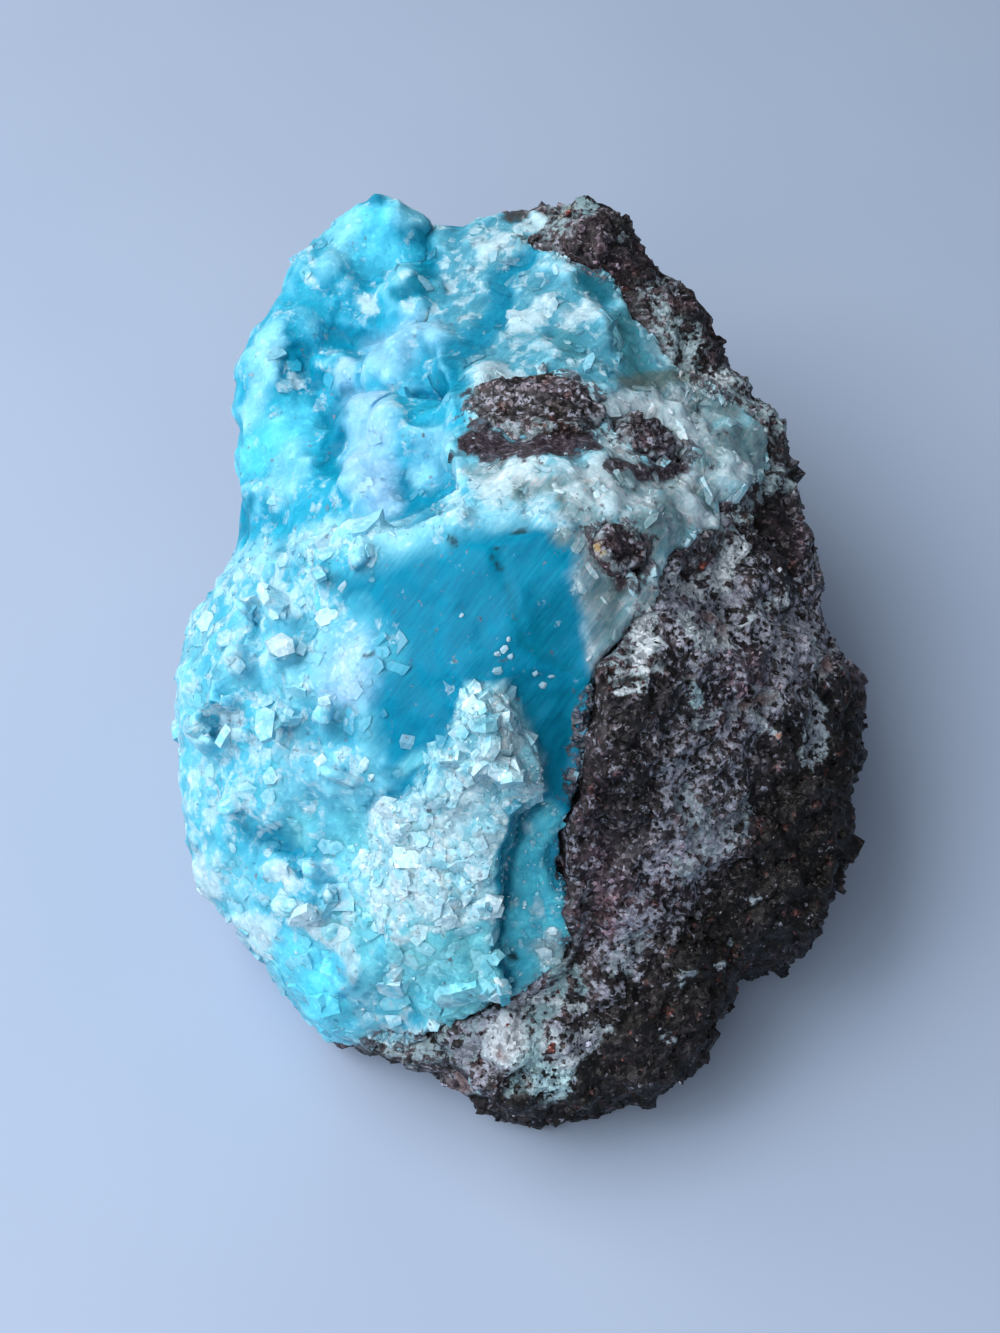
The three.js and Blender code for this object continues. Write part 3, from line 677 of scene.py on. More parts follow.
# Streaks along the fibres: their own darker and paler streaks, with the brightest raised further as a
# painted sheen
STREAK_AND_SHEEN_TONES = [(0.32, (0.45, 0.74, 0.8)), (0.5, (1, 1, 1)), (0.7, (2.0, 1.25, 1.18))]
CRYSTAL_TONES = [(0.3, (0.82, 0.89, 0.92)), (0.7, (1.12, 1.06, 1.04))]
PEPPER_TONES = [
    (0.0, (0.2, 0.19, 0.2)), (0.6, (0.8, 0.77, 0.78)), (0.9, (2.2, 2.1, 2.2)), (1.0, (5, 5, 5.2)),
]
SPECKLE_TONES = [(0.0, (0.5, 0.5, 0.51)), (0.5, (0.95, 0.95, 0.95)), (1.0, (1.2, 1.2, 1.2))]

# Colours over random values, of the frost, the rocky smears and the pale spots on the rock
SNOW_COLOURS = [(0.3, tuple(0.7 * ICE_WHITE)), (0.7, tuple(1.1 * ICE_WHITE))]
SMEAR_COLOURS = [(0.35, tuple(ROCK_DARK)), (0.55, tuple(ROCK_PURPLE)), (0.7, tuple(VEIN_GREY))]
SPOT_COLOURS = [(0.3, tuple(0.5 * VEIN_GREY)), (0.7, tuple(2.1 * VEIN_GREY))]


def crust_material(name, scatter, shine):
    """Translucent crystal: blocks, silky fibres with a painted sheen and ragged white frost, in shares
    painted on the mesh.
    """
    nodes = Nodes(name)
    look = nodes.attribute("look")
    frost_share = nodes.channel(look["Color"], "Red")
    fibre_share = nodes.channel(look["Color"], "Green")
    facet_share = nodes.channel(look["Color"], "Blue")
    crooked = nodes.bent(1.2, 0.4)
    blocks = nodes.cells(BLOCK_SIZE, crooked)
    chips = nodes.cells(CHIP_SIZE, crooked)
    sugar = nodes.cells(SUGAR_SIZE, crooked)
    # Tone of the sugar grains, with painted glints on the brightest
    sugar_and_glint_tone = nodes.ramp(nodes.channel(sugar["Color"], "Red"), SUGAR_AND_GLINT_TONES)
    fibres = nodes.noise(0.35, 3.0, (1.0, 0.1, 0.4))
    edge = nodes.cells(BLOCK_SIZE, crooked, "DISTANCE_TO_EDGE")["Distance"]
    inside = nodes.math("MULTIPLY", facet_share, nodes.span(edge, 0.0, 0.12, 0.1, 1.0))

    colour = nodes.attribute("tint")["Color"]
    for share, tone in (
        (0.9, nodes.ramp(nodes.noise(3.2, 5.0), CLOUD_TONES)),
        (inside, nodes.ramp(nodes.channel(blocks["Color"], "Red"), BLOCK_TONES)),
        (facet_share, nodes.ramp(nodes.channel(chips["Color"], "Red"), CHIP_TONES)),
        (facet_share, sugar_and_glint_tone),
        # Fibre streaks, partly painted sheen
        (fibre_share, nodes.ramp(fibres, STREAK_AND_SHEEN_TONES)),
    ):
        colour = nodes.mix(share, colour, tone, "MULTIPLY")

    patch = nodes.raised(nodes.noise(1.9, 5.0), frost_share, 0.45)
    patch = nodes.uneven(patch, chips, "Green", 0.1)
    patch = nodes.uneven(patch, sugar, "Green", 0.05)
    frost = nodes.span(patch, 0.7, 0.86, 0.0, 0.75)
    snow = nodes.mix(facet_share, nodes.ramp(nodes.noise(0.6, 3.0), SNOW_COLOURS), sugar_and_glint_tone, "MULTIPLY")
    colour = nodes.mix(frost, colour, nodes.mix(0.25, snow, colour))
    smear = nodes.raised(nodes.noise(1.0, 4.0), look["Alpha"], 0.45)
    smear = nodes.span(nodes.uneven(smear, sugar, "Blue", 0.06), 0.66, 0.76, 0.0, 0.9)
    colour = nodes.mix(smear, colour, nodes.ramp(nodes.noise(0.5, 3.0), SMEAR_COLOURS))

    normal = nodes.bump(nodes.noise(0.9, 4.0), 0.25, 0.3)
    for cells, strength in ((blocks, 0.3), (chips, 0.35), (sugar, 0.4)):
        normal = nodes.facet_bump(cells, crooked, strength, normal, facet_share)
    normal = nodes.bump(nodes.math("MULTIPLY", fibres, fibre_share), 0.5, 0.25, normal)
    rough = nodes.span(facet_share, 0.0, 1.0, 0.5, 0.22)
    nodes.set(Base_Color=colour, Roughness=rough, Normal=normal, IOR=1.62, Specular_IOR_Level=shine)
    nodes.set(Subsurface_Weight=scatter, Subsurface_Radius=(0.9, 0.95, 1.0))
    nodes.set(Subsurface_Scale=SCATTER_DEPTH * MM)
    return nodes.material


def crystal_material(name, transmission, roughness):
    nodes = Nodes(name)
    tint = nodes.attribute("tint")["Color"]
    grain = nodes.ramp(nodes.noise(0.6, 2.0), CRYSTAL_TONES)
    nodes.set(Base_Color=nodes.mix(0.8, tint, grain, "MULTIPLY"), Roughness=roughness, IOR=1.62)
    nodes.set(Transmission_Weight=transmission, Normal=nodes.bump(nodes.noise(0.5, 3.0), 0.2, 0.15))
    return nodes.material


def rock_material():
    """Dark granular rock: mottled with pale and rusty spots, with ragged pale veins over them."""
    nodes = Nodes("iron_oxide_rock")
    tint = nodes.attribute("tint")
    vein = nodes.attribute("vein")
    crooked = nodes.bent(0.6, 0.2)
    grains = nodes.cells(GRAIN_SIZE, crooked)
    random = nodes.channel(grains["Color"], "Red")
    pepper = nodes.ramp(random, PEPPER_TONES)
    colour = nodes.mix(0.9, tint["Color"], pepper, "MULTIPLY")
    rusty = nodes.span(nodes.noise(1.3, 4.0), 0.6, 0.68, 0.0, 0.3)
    colour = nodes.mix(rusty, colour, nodes.mix(0.9, (*RUST, 1), pepper, "MULTIPLY"))
    spread = nodes.raised(nodes.noise(0.8, 4.0), tint["Alpha"], 0.4)
    mottle = nodes.span(nodes.uneven(spread, grains, "Red", 0.07), 0.68, 0.78, 0.0, 0.85)
    colour = nodes.mix(mottle, colour, nodes.ramp(nodes.noise(0.5, 3.0), SPOT_COLOURS))
    ragged = nodes.span(nodes.noise(0.9, 4.0), 0.36, 0.6, -0.6, 1.0)
    cover = nodes.span(nodes.math("ADD", ragged, vein["Alpha"]), 0.4, 0.85, 0.0, 1.0)
    cover = nodes.math("MULTIPLY", cover, nodes.span(vein["Alpha"], 0.05, 0.3, 0.0, 1.0))
    speckle = nodes.ramp(random, SPECKLE_TONES)
    colour = nodes.mix(cover, colour, nodes.mix(0.9, vein["Color"], speckle, "MULTIPLY"))
    normal = nodes.bump(nodes.noise(1.2, 4.0), 0.8, 0.5)
    normal = nodes.facet_bump(grains, crooked, 0.8, normal)
    rough = nodes.span(nodes.channel(grains["Color"], "Green"), 0.0, 1.0, 0.4, 0.8)
    nodes.set(Base_Color=colour, Roughness=rough, Normal=normal, IOR=1.6, Specular_IOR_Level=0.25)
    return nodes.material


def floor_material():
    nodes = Nodes("pale_floor")
    tone = nodes.ramp(nodes.noise(60.0, 2.0), [(0.3, (0.31, 0.39, 0.53)), (0.7, (0.33, 0.41, 0.55))])
    nodes.set(Base_Color=tone, Roughness=0.85)
    return nodes.material


def wobble(points, seed, far=8.0, near=5.0):
    """Pixel offsets that make the edges of painted zones ragged."""
    return np.stack([
        far * lumps(points, 3.0, seed + axis) + near * layered_lumps(points, 1.1, seed + 5 + axis, 2)
        for axis in range(2)
    ], axis=1)


def crust_zones(points):
    """Weights that the relief, the paint and the crystals of the crust share."""
    at = photo_pixels(points) + wobble(points, 31)
    zones = {
        "shelf": in_zone(at, SHELF, 26),
        "top": in_zone(at, TOP_END, 24),
        "crest": in_zone(at, CREST, 18),
        "pool": in_zone(at, POOL, 18, 14),
        "plate": in_zone(photo_pixels(points) + 0.7 * wobble(points, 41), PLATE, 4),
        "foot": in_zone(at, PLATE_FOOT, 14),
        "strip": in_zone(photo_pixels(points) + 0.4 * wobble(points, 41), STRIP, 4),
        "ridge": on_path(at, RIDGE, 14),
        "contact": on_path(at, CONTACT, 9),
    }
    others = ("shelf", "top", "crest", "pool", "plate", "strip")
    zones["lobe"] = np.clip(1 - sum(zones[name] for name in others), 0, 1)
    return zones


def nearness(points, nodes, near=WALL_NEAR, reach=WALL_REACH):
    """Weight of the points close to some CAD nodes: 1 up to the near distance, and 0 from the reach on."""
    distance = np.full(len(points), reach)
    for node in nodes:
        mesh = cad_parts[node].data
        polygons = [tuple(polygon.vertices) for polygon in mesh.polygons]
        tree = BVHTree.FromPolygons(read_points(mesh), polygons)
        found = [tree.find_nearest(point, reach)[3] for point in points]
        distance = np.minimum(distance, [reach if far is None else far for far in found])
    return 1 - smoothstep(near, reach, distance)


def warped(points, seed):
    """Points pushed about by noise, which bends straight edges, but not where the stone stands."""
    push = 0.55 * flow(points, 3.6, seed) + 0.25 * flow(points, 1.5, seed + 5)
    return points + push * smoothstep(0.3, 2.0, points[:, 2])[:, None]


FRAGMENTS = ("rock_fragment_left", "rock_fragment_right", "rock_fragment_low")
SUNK_COLOURS = (DEEP_BLUE, PAINTED_SHADE_BLUE, DARK_TEAL, TEAL)
RAISED_COLOURS = (ICE_WHITE, LAVENDER, PROUD_BLUE)


def mark_relief(at):
    """Height of the crust's marks: the deep ones lie in grooves and the pale ones on lumps."""
    height = np.zeros(len(at))
    for colour, strength, half_width, path in CRUST_MARKS:
        step = any(colour is pale for pale in RAISED_COLOURS) - any(colour is deep for deep in SUNK_COLOURS)
        height += MARK_RELIEF * half_width * step * strength * on_path(at, path, half_width, 0.8)
    return height


def shape_crust(mesh, zones):
    """Adds the crust's finer relief: knobs, crystal tips, smooth hollows and a ragged edge on the rock."""
    rest = read_points(mesh)
    eased = averaged(rest, read_edges(mesh), 14)
    smooth = np.maximum.reduce([zones["pool"], zones["ridge"], zones["shelf"]])
    points = warped(blend(rest, eased, smooth), 71)
    write_points(mesh, points)
    height = zones["shelf"] * 0.8 * layered_lumps(rest, 4.6, 7)
    height += zones["lobe"] * (0.9 * tips(rest, 4.4, 3) - 0.45)
    height += zones["plate"] * (0.4 * tips(rest, 2.2, 5) + 0.4 * tips(rest, 1.0, 6) - 0.4)
    upper = zones["crest"] + zones["top"]
    height += upper * (0.8 * tips(rest, 2.6, 9) + 0.3 * tips(rest, 1.3, 10) - 0.55)
    height += zones["strip"] * (0.3 * tips(rest, 1.0, 12) - 0.15)
    height += (0.2 - 0.1 * zones["pool"]) * layered_lumps(rest, 2.4, 60)
    height += mark_relief(photo_pixels(rest) + 0.6 * wobble(rest, 51))
    wall = nearness(rest, ("matrix_rock", *FRAGMENTS))
    height = height * (1 - wall) + wall * (0.25 + 0.5 * layered_lumps(rest, 2.2, 64))
    height *= smoothstep(0.0, 0.8, rest[:, 2])
    write_points(mesh, points + read_normals(mesh) * height[:, None])


def paint_crust(mesh, rest, zones):
    """Colours of the crust, with painted shade and painted highlight in some marks, in its hollows and on
    its knobs, and the shares of frost, fibres, facets and rocky smears on it.
    """
    at = photo_pixels(rest) + 0.6 * wobble(rest, 51)
    depth = cavity(mesh, 8)
    hollow = cavity(mesh, 60)
    drift = layered_lumps(rest, 5.0, 80)
    bare = on_path(at, BARE_CONTACT, 60)
    edge = (1 - smoothstep(0, 24, path_distance(at, CONTACT))) * (1 - 0.7 * bare)
    blue = 1 - zones["crest"] - 0.5 * zones["top"]
    knob_tone_and_highlight_share = 1 - zones["pool"]
    dirt = smoothstep(0.15, 0.6, layered_lumps(rest, 2.6, 90))
    deep_dirt = 0.8 * smoothstep(0.4, 0.8, layered_lumps(rest, 1.8, 94))
    colours = np.tile(PALE_BLUE, (len(rest), 1))
    for colour, weight in (
        (MID_BLUE, 0.8 * smoothstep(-0.1, 0.7, drift)),
        (SHELF_BLUE, zones["shelf"]),
        (TOP_PALE, zones["top"]),
        (CREST_GREY, zones["crest"]),
        (DEEP_BLUE, zones["pool"]),
        (RIDGE_WHITE, 0.8 * zones["ridge"]),
        # Deeper in pits and hollows and paler on knobs: partly the crystal's own tone, partly painted shade
        # and painted highlight
        (DEEP_BLUE, 0.5 * smoothstep(0.04, 0.3, depth) * blue),
        (DEEP_BLUE, 0.6 * smoothstep(0.1, 0.7, hollow) * blue),
        (PROUD_BLUE, 0.4 * smoothstep(0.04, 0.3, -depth) * knob_tone_and_highlight_share),
        (PROUD_BLUE, 0.4 * smoothstep(0.15, 0.8, -hollow) * knob_tone_and_highlight_share),
        (CREST_GREEN, dirt * zones["crest"]),
        (OLIVE, deep_dirt * zones["crest"]),
        (PLATE_TEAL, 0.8 * zones["foot"]),
        (PLATE_WHITE, zones["plate"]),
        (STRIP_TEAL, zones["strip"]),
        (CONTACT_GREY, 0.6 * edge),
    ):
        colours = blend(colours, colour, weight)
    frost = sum(share * zones[zone] for zone, share in FROST.items()) + 0.16 * drift
    whites = np.zeros(len(rest))
    rocky = np.zeros(len(rest))
    for colour, strength, half_width, path in CRUST_MARKS:
        weight = strength * on_path(at, path, half_width)
        white = colour is ICE_WHITE
        whites = np.maximum(whites, weight * white)
        rocky = np.maximum(rocky, weight * (colour is ROCK_PURPLE))
        colours = blend(colours, colour, weight * (0.5 if white else 1))
        frost = frost + ((1.2 if white else 0) - frost) * weight
    store_colours(mesh, "tint", with_alpha(colours, 1.0))
    fibre = np.maximum(sum(share * zones[zone] for zone, share in FIBRE.items()), 0.7 * edge)
    facet = sum(share * zones[zone] for zone, share in FACET.items())
    smear = (0.6 + 0.35 * bare) * (1 - smoothstep(0, 1, path_distance(at, CONTACT) / (18 + 14 * bare)))
    smear = np.maximum(smear, 0.14 * zones["crest"])
    smear = np.maximum(smear, 0.6 * nearness(rest, FRAGMENTS, 0.4, 2.4))
    smear = np.maximum(smear * (1 - whites), rocky)
    look = np.clip(np.stack([frost, fibre, facet, smear], axis=1), 0, 1)
    store_colours(mesh, "look", look)
    return colours, look


def shape_rock(mesh, seed, sink=0.0):
    """Adds ledges, facets and grain to a rock, and a ragged edge where it meets the crust."""
    rest = read_points(mesh)
    write_points(mesh, warped(rest, 81))
    height = 0.5 * layered_lumps(rest, 3.6, seed, 4) + 0.9 * facets(rest, 4.6, seed + 6)
    height += 0.6 * facets(rest, 2.2, seed + 7) + 0.25 * facets(rest, 1.1, seed + 8)
    wall = nearness(rest, ("hemimorphite_crust",))
    height = height * (1 - wall) + wall * (0.2 + 0.6 * layered_lumps(rest, 2.2, 264)) - sink * (1 - wall)
    height *= smoothstep(0.0, 1.0, rest[:, 2])
    write_points(mesh, read_points(mesh) + read_normals(mesh) * height[:, None])
    return wall


def paint_rock(mesh, rest, warm, rim):
    """Colours of a rock, with painted shade in its hollows and on its shaded parts, its share of pale
    spots, and its veins. Crystal grows over it on the rim.
    """
    at = photo_pixels(rest) + 0.8 * wobble(rest, 51)
    colours = np.tile(ROCK_MID, (len(rest), 1))
    colours = blend(colours, ROCK_PURPLE, smoothstep(0.0, 0.7, layered_lumps(rest, 6.0, 120)))
    colours = blend(colours, ROCK_BROWN, warm * smoothstep(0.1, 0.7, layered_lumps(rest, 3.5, 140)))
    # Painted shade in the rock's hollows
    colours = blend(colours, ROCK_DARK, 0.9 * smoothstep(-0.1, 0.35, cavity(mesh, 10)))
    spots = 0.28 + 0.2 * layered_lumps(rest, 4.0, 150)
    front = smoothstep(-24, -12, face_coordinates(rest)[:, 2])
    for half_width, path in ROCK_PALE:
        spots = spots + 0.35 * on_path(at, path, half_width) * front
    for strength, half_width, path in ROCK_SHADE:
        shade = strength * on_path(at, path, half_width)
        colours = blend(colours, ROCK_DARK, shade)
        spots = spots * (1 - 0.9 * shade)
    patch = layered_lumps(rest, 3.0, 160, 4)
    colours *= (0.5 + 1.1 * smoothstep(-0.2, 0.4, patch))[:, None]
    store_colours(mesh, "tint", with_alpha(colours, np.clip(spots, 0, 1)))
    edge = 0.6 * (1 - smoothstep(0, 30, path_distance(at, CONTACT))) * front
    edge *= (1 - 0.8 * on_path(at, BARE_CONTACT, 60)) * (0.6 + 0.8 * lumps(rest, 5.0, 170))
    cover = np.maximum(edge, 0.2 * rim)
    veins = np.tile(CONTACT_GREY, (len(rest), 1))
    for colour, strength, half_width, path in ROCK_MARKS:
        weight = strength * on_path(at, path, half_width) * front
        veins = blend(veins, colour, weight)
        cover = np.maximum(cover, weight)
    store_colours(mesh, "vein", with_alpha(veins, cover))
    return colours


def scattered(mesh, weights, count, rng):
    """Random places on a mesh: point, outward direction and a vertex beside each."""
    mesh.calc_loop_triangles()
    faces = read_values(mesh.loop_triangles, "vertices", 3, np.int32)
    corners = read_points(mesh)[faces]
    area = np.linalg.norm(np.cross(corners[:, 1] - corners[:, 0], corners[:, 2] - corners[:, 0]), axis=1)
    chance = area * weights[faces].mean(axis=1)
    chosen = rng.choice(len(faces), count, p=chance / chance.sum())
    share = rng.dirichlet((1, 1, 1), count)[:, :, None]
    place = np.sum(corners[chosen] * share, axis=1)
    outward = np.sum(read_normals(mesh)[faces[chosen]] * share, axis=1)
    return place, unit(outward), faces[chosen, 0]


# A crystal of unit size: six upright sides, a chisel tip, and its foot sunk in what it grows on
CRYSTAL_RING = np.array([(1, 0), (0.6, 1), (-0.6, 1), (-1, 0), (-0.6, -1), (0.6, -1)], float)
CRYSTAL_POINTS = np.concatenate([
    np.insert(CRYSTAL_RING, 2, -1.0, axis=1),
    np.insert(CRYSTAL_RING * 0.95, 2, 0.45, axis=1),
    [(0.5, 0, 1), (-0.5, 0, 1)],
])
CRYSTAL_FOOT = 0.8
CRYSTAL_FACES = [
    *[(i, (i + 1) % 6, 6 + (i + 1) % 6) for i in range(6)],
    *[(i, 6 + (i + 1) % 6, 6 + i) for i in range(6)],
    (6, 7, 12), (7, 13, 12), (7, 8, 13), (8, 9, 13), (9, 10, 13), (10, 12, 13), (10, 11, 12), (11, 6, 12),
    (0, 2, 1), (0, 3, 2), (0, 4, 3), (0, 5, 4),
]
# A grain of unit size: a skewed eight-cornered block
GRAIN_POINTS = np.array([
    (-1, -0.8, -1), (0.9, -1, -0.9), (1, 0.9, -1), (-0.8, 1, -0.9),
    (-0.7, -0.9, 0.8), (0.8, -0.6, 1), (0.6, 0.8, 0.7), (-0.9, 0.6, 0.9),
])
GRAIN_FACES = [
    (0, 2, 1), (0, 3, 2), (4, 5, 6), (4, 6, 7), (0, 1, 5), (0, 5, 4), (1, 2, 6), (1, 6, 5),
    (2, 3, 7), (2, 7, 6), (3, 0, 4), (3, 4, 7),
]


def strewn_mesh(name, form, form_faces, place, growth, side, sizes, rng, foot=CRYSTAL_FOOT):
    """Copies of one form joined in one mesh, each with its own direction and size."""
    side = unit(side - growth * np.sum(side * growth, axis=1, keepdims=True))
    across = np.cross(growth, side)
    uneven = 1 + 0.06 * rng.normal(size=(len(place), *form.shape))
    corner = np.arange(len(form)) % 6
    uneven[..., :2] *= (1 + 0.18 * rng.normal(size=(len(place), 6)))[:, corner, None]
    local = form[None] * sizes[:, None, :] * uneven
    local[..., 2] = np.where(form[:, 2] < 0, form[:, 2] * np.maximum(sizes[:, 2:], foot), local[..., 2])
    axes = (side, across, growth)
    turned = sum(local[..., i:i + 1] * axis[:, None] for i, axis in enumerate(axes))
    points = (place[:, None] + turned).reshape(-1, 3)
    steps = len(form) * np.arange(len(place))[:, None, None]
    mesh = bpy.data.meshes.new(name)
    mesh.from_pydata(points * MM, [], (np.array(form_faces)[None] + steps).reshape(-1, 3))
    return mesh


def store_tints(mesh, tints, **more):
    """Colour attributes of a strewn mesh, from one value for each of its copies."""
    for name, values in {"tint": with_alpha(tints, 0.0), **more}.items():
        store_colours(mesh, name, np.repeat(values, len(mesh.vertices) // len(values), axis=0))


def flow(points, size, seed):
    """Directions that change slowly from place to place, so that neighbours lie alike."""
    return np.stack([lumps(points, size, seed + axis) for axis in range(3)], axis=1)


def between(span, share):
    return span[0] + (span[1] - span[0]) * share


def grow_crystals(name, host, colours, look, weights, count, wide, slim, rise, tilt, bleach, seed):
    """Close-set crystals on a host mesh where the weights say, in its colours made paler or deeper."""
    rng = np.random.default_rng(seed)
    place, outward, vertex = scattered(host, weights, count, rng)
    lean = flow(place, 4.0, seed) + 0.4 * rng.normal(size=(count, 3))
    side = flow(place, 6.0, seed + 9) + 0.3 * rng.normal(size=(count, 3))
    half = between(wide, rng.random(count) ** 2)
    thick = half * between(slim, rng.random(count))
    sizes = np.stack([half, thick, between(rise, rng.random(count))], axis=1)
    tints = colours[vertex]
    tone = rng.random(count)
    tints = tints + (ICE_WHITE - tints) * (bleach * smoothstep(0.3, 1.0, tone))[:, None]
    growth = unit(outward + tilt * lean)
    mesh = strewn_mesh(name, CRYSTAL_POINTS, CRYSTAL_FACES, place, growth, side, sizes, rng)
    store_tints(mesh, tints, look=look[vertex])
    return mesh


def single_crystals(name, host, colours, look):
    """The larger crystals of the photo, each on the surface that the camera sees there."""
    rng = np.random.default_rng(90)
    points = read_points(host)
    at = photo_pixels(points)
    height = face_coordinates(points)[:, 2]
    spots = np.array(CRYSTALS)
    seen = []
    for x, y in spots[:, :2]:
        near = np.flatnonzero(np.hypot(at[:, 0] - x, at[:, 1] - y) < 6)
        seen.append(near[np.argmax(height[near])])
    pixel = (EYE_DISTANCE - height[seen]) / FOCAL_PIXELS
    growth = unit(read_normals(host)[seen] + 0.5 * EYE_DIRECTION + 0.3 * rng.normal(size=(len(seen), 3)))
    turn = np.radians(spots[:, 4])
    up_face = np.array([0, math.cos(FACE_LEAN), math.sin(FACE_LEAN)])
    side = np.cos(turn)[:, None] * (1, 0, 0) + np.sin(turn)[:, None] * up_face
    sizes = np.stack([spots[:, 2] * pixel, spots[:, 3] * pixel, 0.06 + 0.18 * spots[:, 3] * pixel], axis=1)
    tints = colours[seen] + (ICE_WHITE - colours[seen]) * 0.6 * spots[:, 5:6]
    mesh = strewn_mesh(name, CRYSTAL_POINTS, CRYSTAL_FACES, points[seen], growth, side, sizes, rng)
    store_tints(mesh, tints, look=look[seen])
    return mesh


def strew_grains(name, host, colours, count, seed):
    """Angular grains that stand a little out of the rock, most of them dark and a few white or rusty."""
    rng = np.random.default_rng(seed)
    points = read_points(host)
    place, outward, vertex = scattered(host, smoothstep(0.6, 1.5, points[:, 2]), count, rng)
    growth = unit(outward + 0.7 * rng.normal(size=(count, 3)))
    size = 0.12 + 0.3 * rng.random(count) ** 2
    sizes = size[:, None] * (0.6 + 0.6 * rng.random((count, 3)))
    shade = 0.5 + 1.1 * rng.random(count) ** 2
    tints = colours[vertex] * shade[:, None]
    pick = rng.random(count)
    tints = np.where((pick > 0.96)[:, None], VEIN_GREY, tints)
    tints = np.where((pick > 0.99)[:, None], VEIN_WHITE, tints)
    tints = np.where((pick < 0.03)[:, None], RUST, tints)
    side = rng.normal(size=(count, 3))
    mesh = strewn_mesh(name, GRAIN_POINTS, GRAIN_FACES, place, growth, side, sizes, rng, 0.0)
    store_tints(mesh, tints, vein=with_alpha(tints, 0.0))
    return mesh


EYE_DIRECTION = np.array([0, -math.sin(FACE_LEAN), math.cos(FACE_LEAN)])

# The crust and its crystals
crust = fine_mesh("hemimorphite_crust", CRUST_VOXEL, 5)
crust_rest = read_points(crust)
zones = crust_zones(crust_rest)
shape_crust(crust, zones)
crust_colours, crust_look = paint_crust(crust, crust_rest, zones)
body_look = crust_material("hemimorphite", 0.85, 0.06)
block_look = crust_material("hemimorphite_blocks", 0.0, 0.3)
add_piece("crust", crust, body_look, "hemimorphite", "hemimorphite_crust")

clear_of_base = smoothstep(1.0, 4.0, crust_rest[:, 2])
milky_look = crystal_material("milky_crystal", 0.15, 0.22)
clear_look = crystal_material("clear_crystal", 0.35, 0.1)

# Strewn crystals: zone, count, half width, thickness for width, rise, tilt, most whiteness, look
STREWN = {
    "lobe_crystals": ("lobe", 700, (0.3, 1.6), (0.5, 0.9), (0.0, 0.12), 0.18, 0.12, block_look),
    "lobe_glints": ("lobe", 300, (0.08, 0.24), (0.4, 0.9), (0.05, 0.2), 0.8, 1.0, clear_look),
    "shelf_crystals": ("shelf", 110, (0.3, 1.3), (0.5, 0.9), (0.0, 0.06), 0.1, 0.1, block_look),
    "plate_blocks": ("plate", 480, (0.3, 1.5), (0.4, 0.9), (0.02, 0.14), 0.24, 0.3, block_look),
    "plate_sugar": ("plate", 700, (0.12, 0.4), (0.4, 0.9), (0.02, 0.12), 0.4, 0.5, milky_look),
    "plate_glints": ("plate", 300, (0.08, 0.26), (0.4, 0.8), (0.05, 0.25), 0.8, 0.9, clear_look),
    "foot_crystals": ("foot", 260, (0.3, 1.5), (0.4, 0.9), (0.0, 0.1), 0.2, 0.2, block_look),
    "strip_sugar": ("strip", 700, (0.1, 0.4), (0.5, 0.9), (0.02, 0.14), 0.5, 0.4, milky_look),
    "crest_crystals": ("crest", 320, (0.3, 1.4), (0.25, 0.5), (0.02, 0.18), 0.3, 0.3, block_look),
    "top_crystals": ("top", 260, (0.3, 1.4), (0.25, 0.5), (0.02, 0.14), 0.3, 0.2, block_look),
    "contact_crystals": ("contact", 900, (0.12, 0.6), (0.3, 0.7), (0.05, 0.3), 0.7, 0.4, block_look),
    "ridge_sugar": ("ridge", 400, (0.1, 0.5), (0.3, 0.7), (0.02, 0.12), 0.5, 0.4, milky_look),
}
for seed, (name, (zone, count, *form, look)) in enumerate(STREWN.items()):
    weights = zones[zone] * clear_of_base + 1e-9
    crystals = grow_crystals(name, crust, crust_colours, crust_look, weights, count, *form, seed)
    add_piece(name, crystals, look, "hemimorphite")
large_crystals = single_crystals("single_crystals", crust, crust_colours, crust_look)
add_piece("single_crystals", large_crystals, block_look, "hemimorphite")

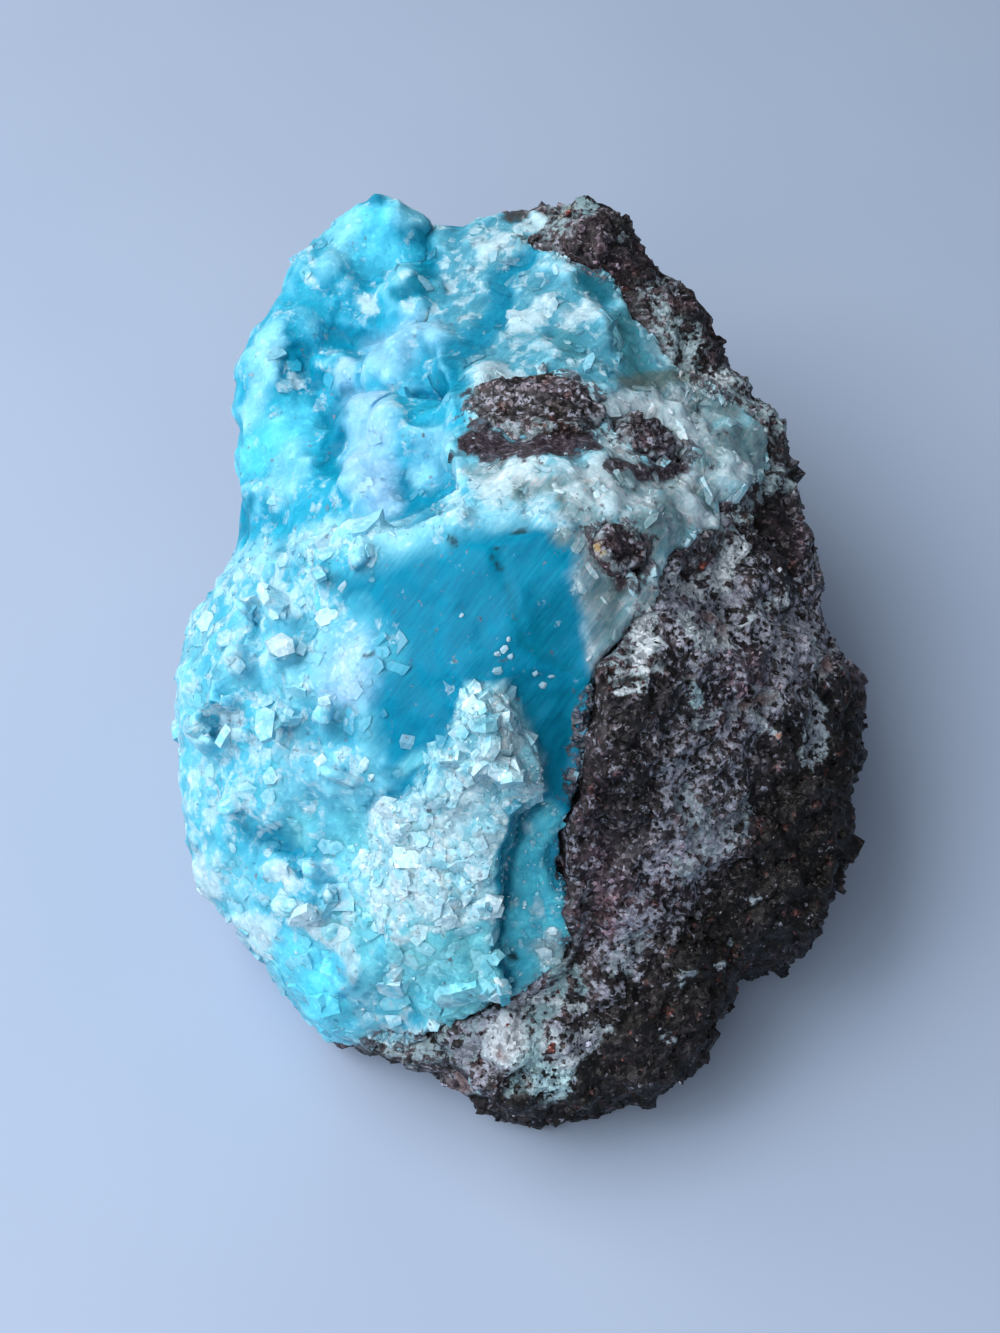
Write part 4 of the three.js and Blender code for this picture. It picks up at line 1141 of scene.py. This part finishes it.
# The rock, its grains and its fragments
rock_look = rock_material()
rock = fine_mesh("matrix_rock", ROCK_VOXEL, 4)
rock_rest = read_points(rock)
shape_rock(rock, 200)
rock_colours = paint_rock(rock, rock_rest, 0.3, np.zeros(len(rock_rest)))
add_piece("rock", rock, rock_look, "rock", "matrix_rock")
grains = strew_grains("rock_grains", rock, rock_colours, 2600, 70)
add_piece("rock_grains", grains, rock_look, "rock")
for name in FRAGMENTS:
    fragment = fine_mesh(name, FRAGMENT_VOXEL, 3)
    fragment_rest = read_points(fragment)
    rim = shape_rock(fragment, 260, 0.6)
    paint_rock(fragment, fragment_rest, 0.8, rim)
    add_piece(name + "_rough", fragment, rock_look, "rock", name)

# Floor, light and camera
FLOOR_HALF = 2000.0
floor_mesh = bpy.data.meshes.new("floor")
floor_half = FLOOR_HALF * MM
floor_corners = [(x * floor_half, y * floor_half, 0) for x, y in ((-1, -1), (1, -1), (1, 1), (-1, 1))]
floor_mesh.from_pydata(floor_corners, [], [(0, 1, 2, 3)])
floor_mesh.materials.append(floor_material())
floor = bpy.data.objects.new("floor", floor_mesh)
bpy.context.scene.collection.objects.link(floor)


def soft_light(name, direction, distance, size, power, colour):
    """A square area light that looks at the stone."""
    light = bpy.data.lights.new(name, "AREA")
    light.size = size * MM
    light.energy = power
    light.color = colour
    lamp = bpy.data.objects.new(name, light)
    towards = Vector(direction).normalized()
    lamp.location = Vector(FACE_CENTRE * MM) + towards * distance * MM
    lamp.rotation_euler = towards.to_track_quat("Z", "Y").to_euler()
    bpy.context.scene.collection.objects.link(lamp)


soft_light("window", (-0.6, 0.06, 0.8), 420.0, 380.0, 2.1, (1.0, 0.99, 0.97))
soft_light("fill", (-0.35, -0.5, 0.78), 380.0, 330.0, 1.0, (0.95, 0.97, 1.0))

world = bpy.data.worlds.new("room")
world.use_nodes = True
world.node_tree.nodes["Background"].inputs["Color"].default_value = (0.84, 0.9, 1.0, 1)
world.node_tree.nodes["Background"].inputs["Strength"].default_value = 0.24
bpy.context.scene.world = world
bpy.context.scene.view_settings.view_transform = "Standard"

camera_data = bpy.data.cameras.new("camera")
camera_data.sensor_fit = "VERTICAL"
camera_data.sensor_height = SENSOR
camera_data.lens = SENSOR * FOCAL_PIXELS / PHOTO_SIZE[1]
camera = bpy.data.objects.new("camera", camera_data)
camera.location = (FACE_CENTRE + EYE_DISTANCE * EYE_DIRECTION) * MM
camera.rotation_euler = (FACE_LEAN, 0, 0)
bpy.context.scene.collection.objects.link(camera)
bpy.context.scene.camera = camera
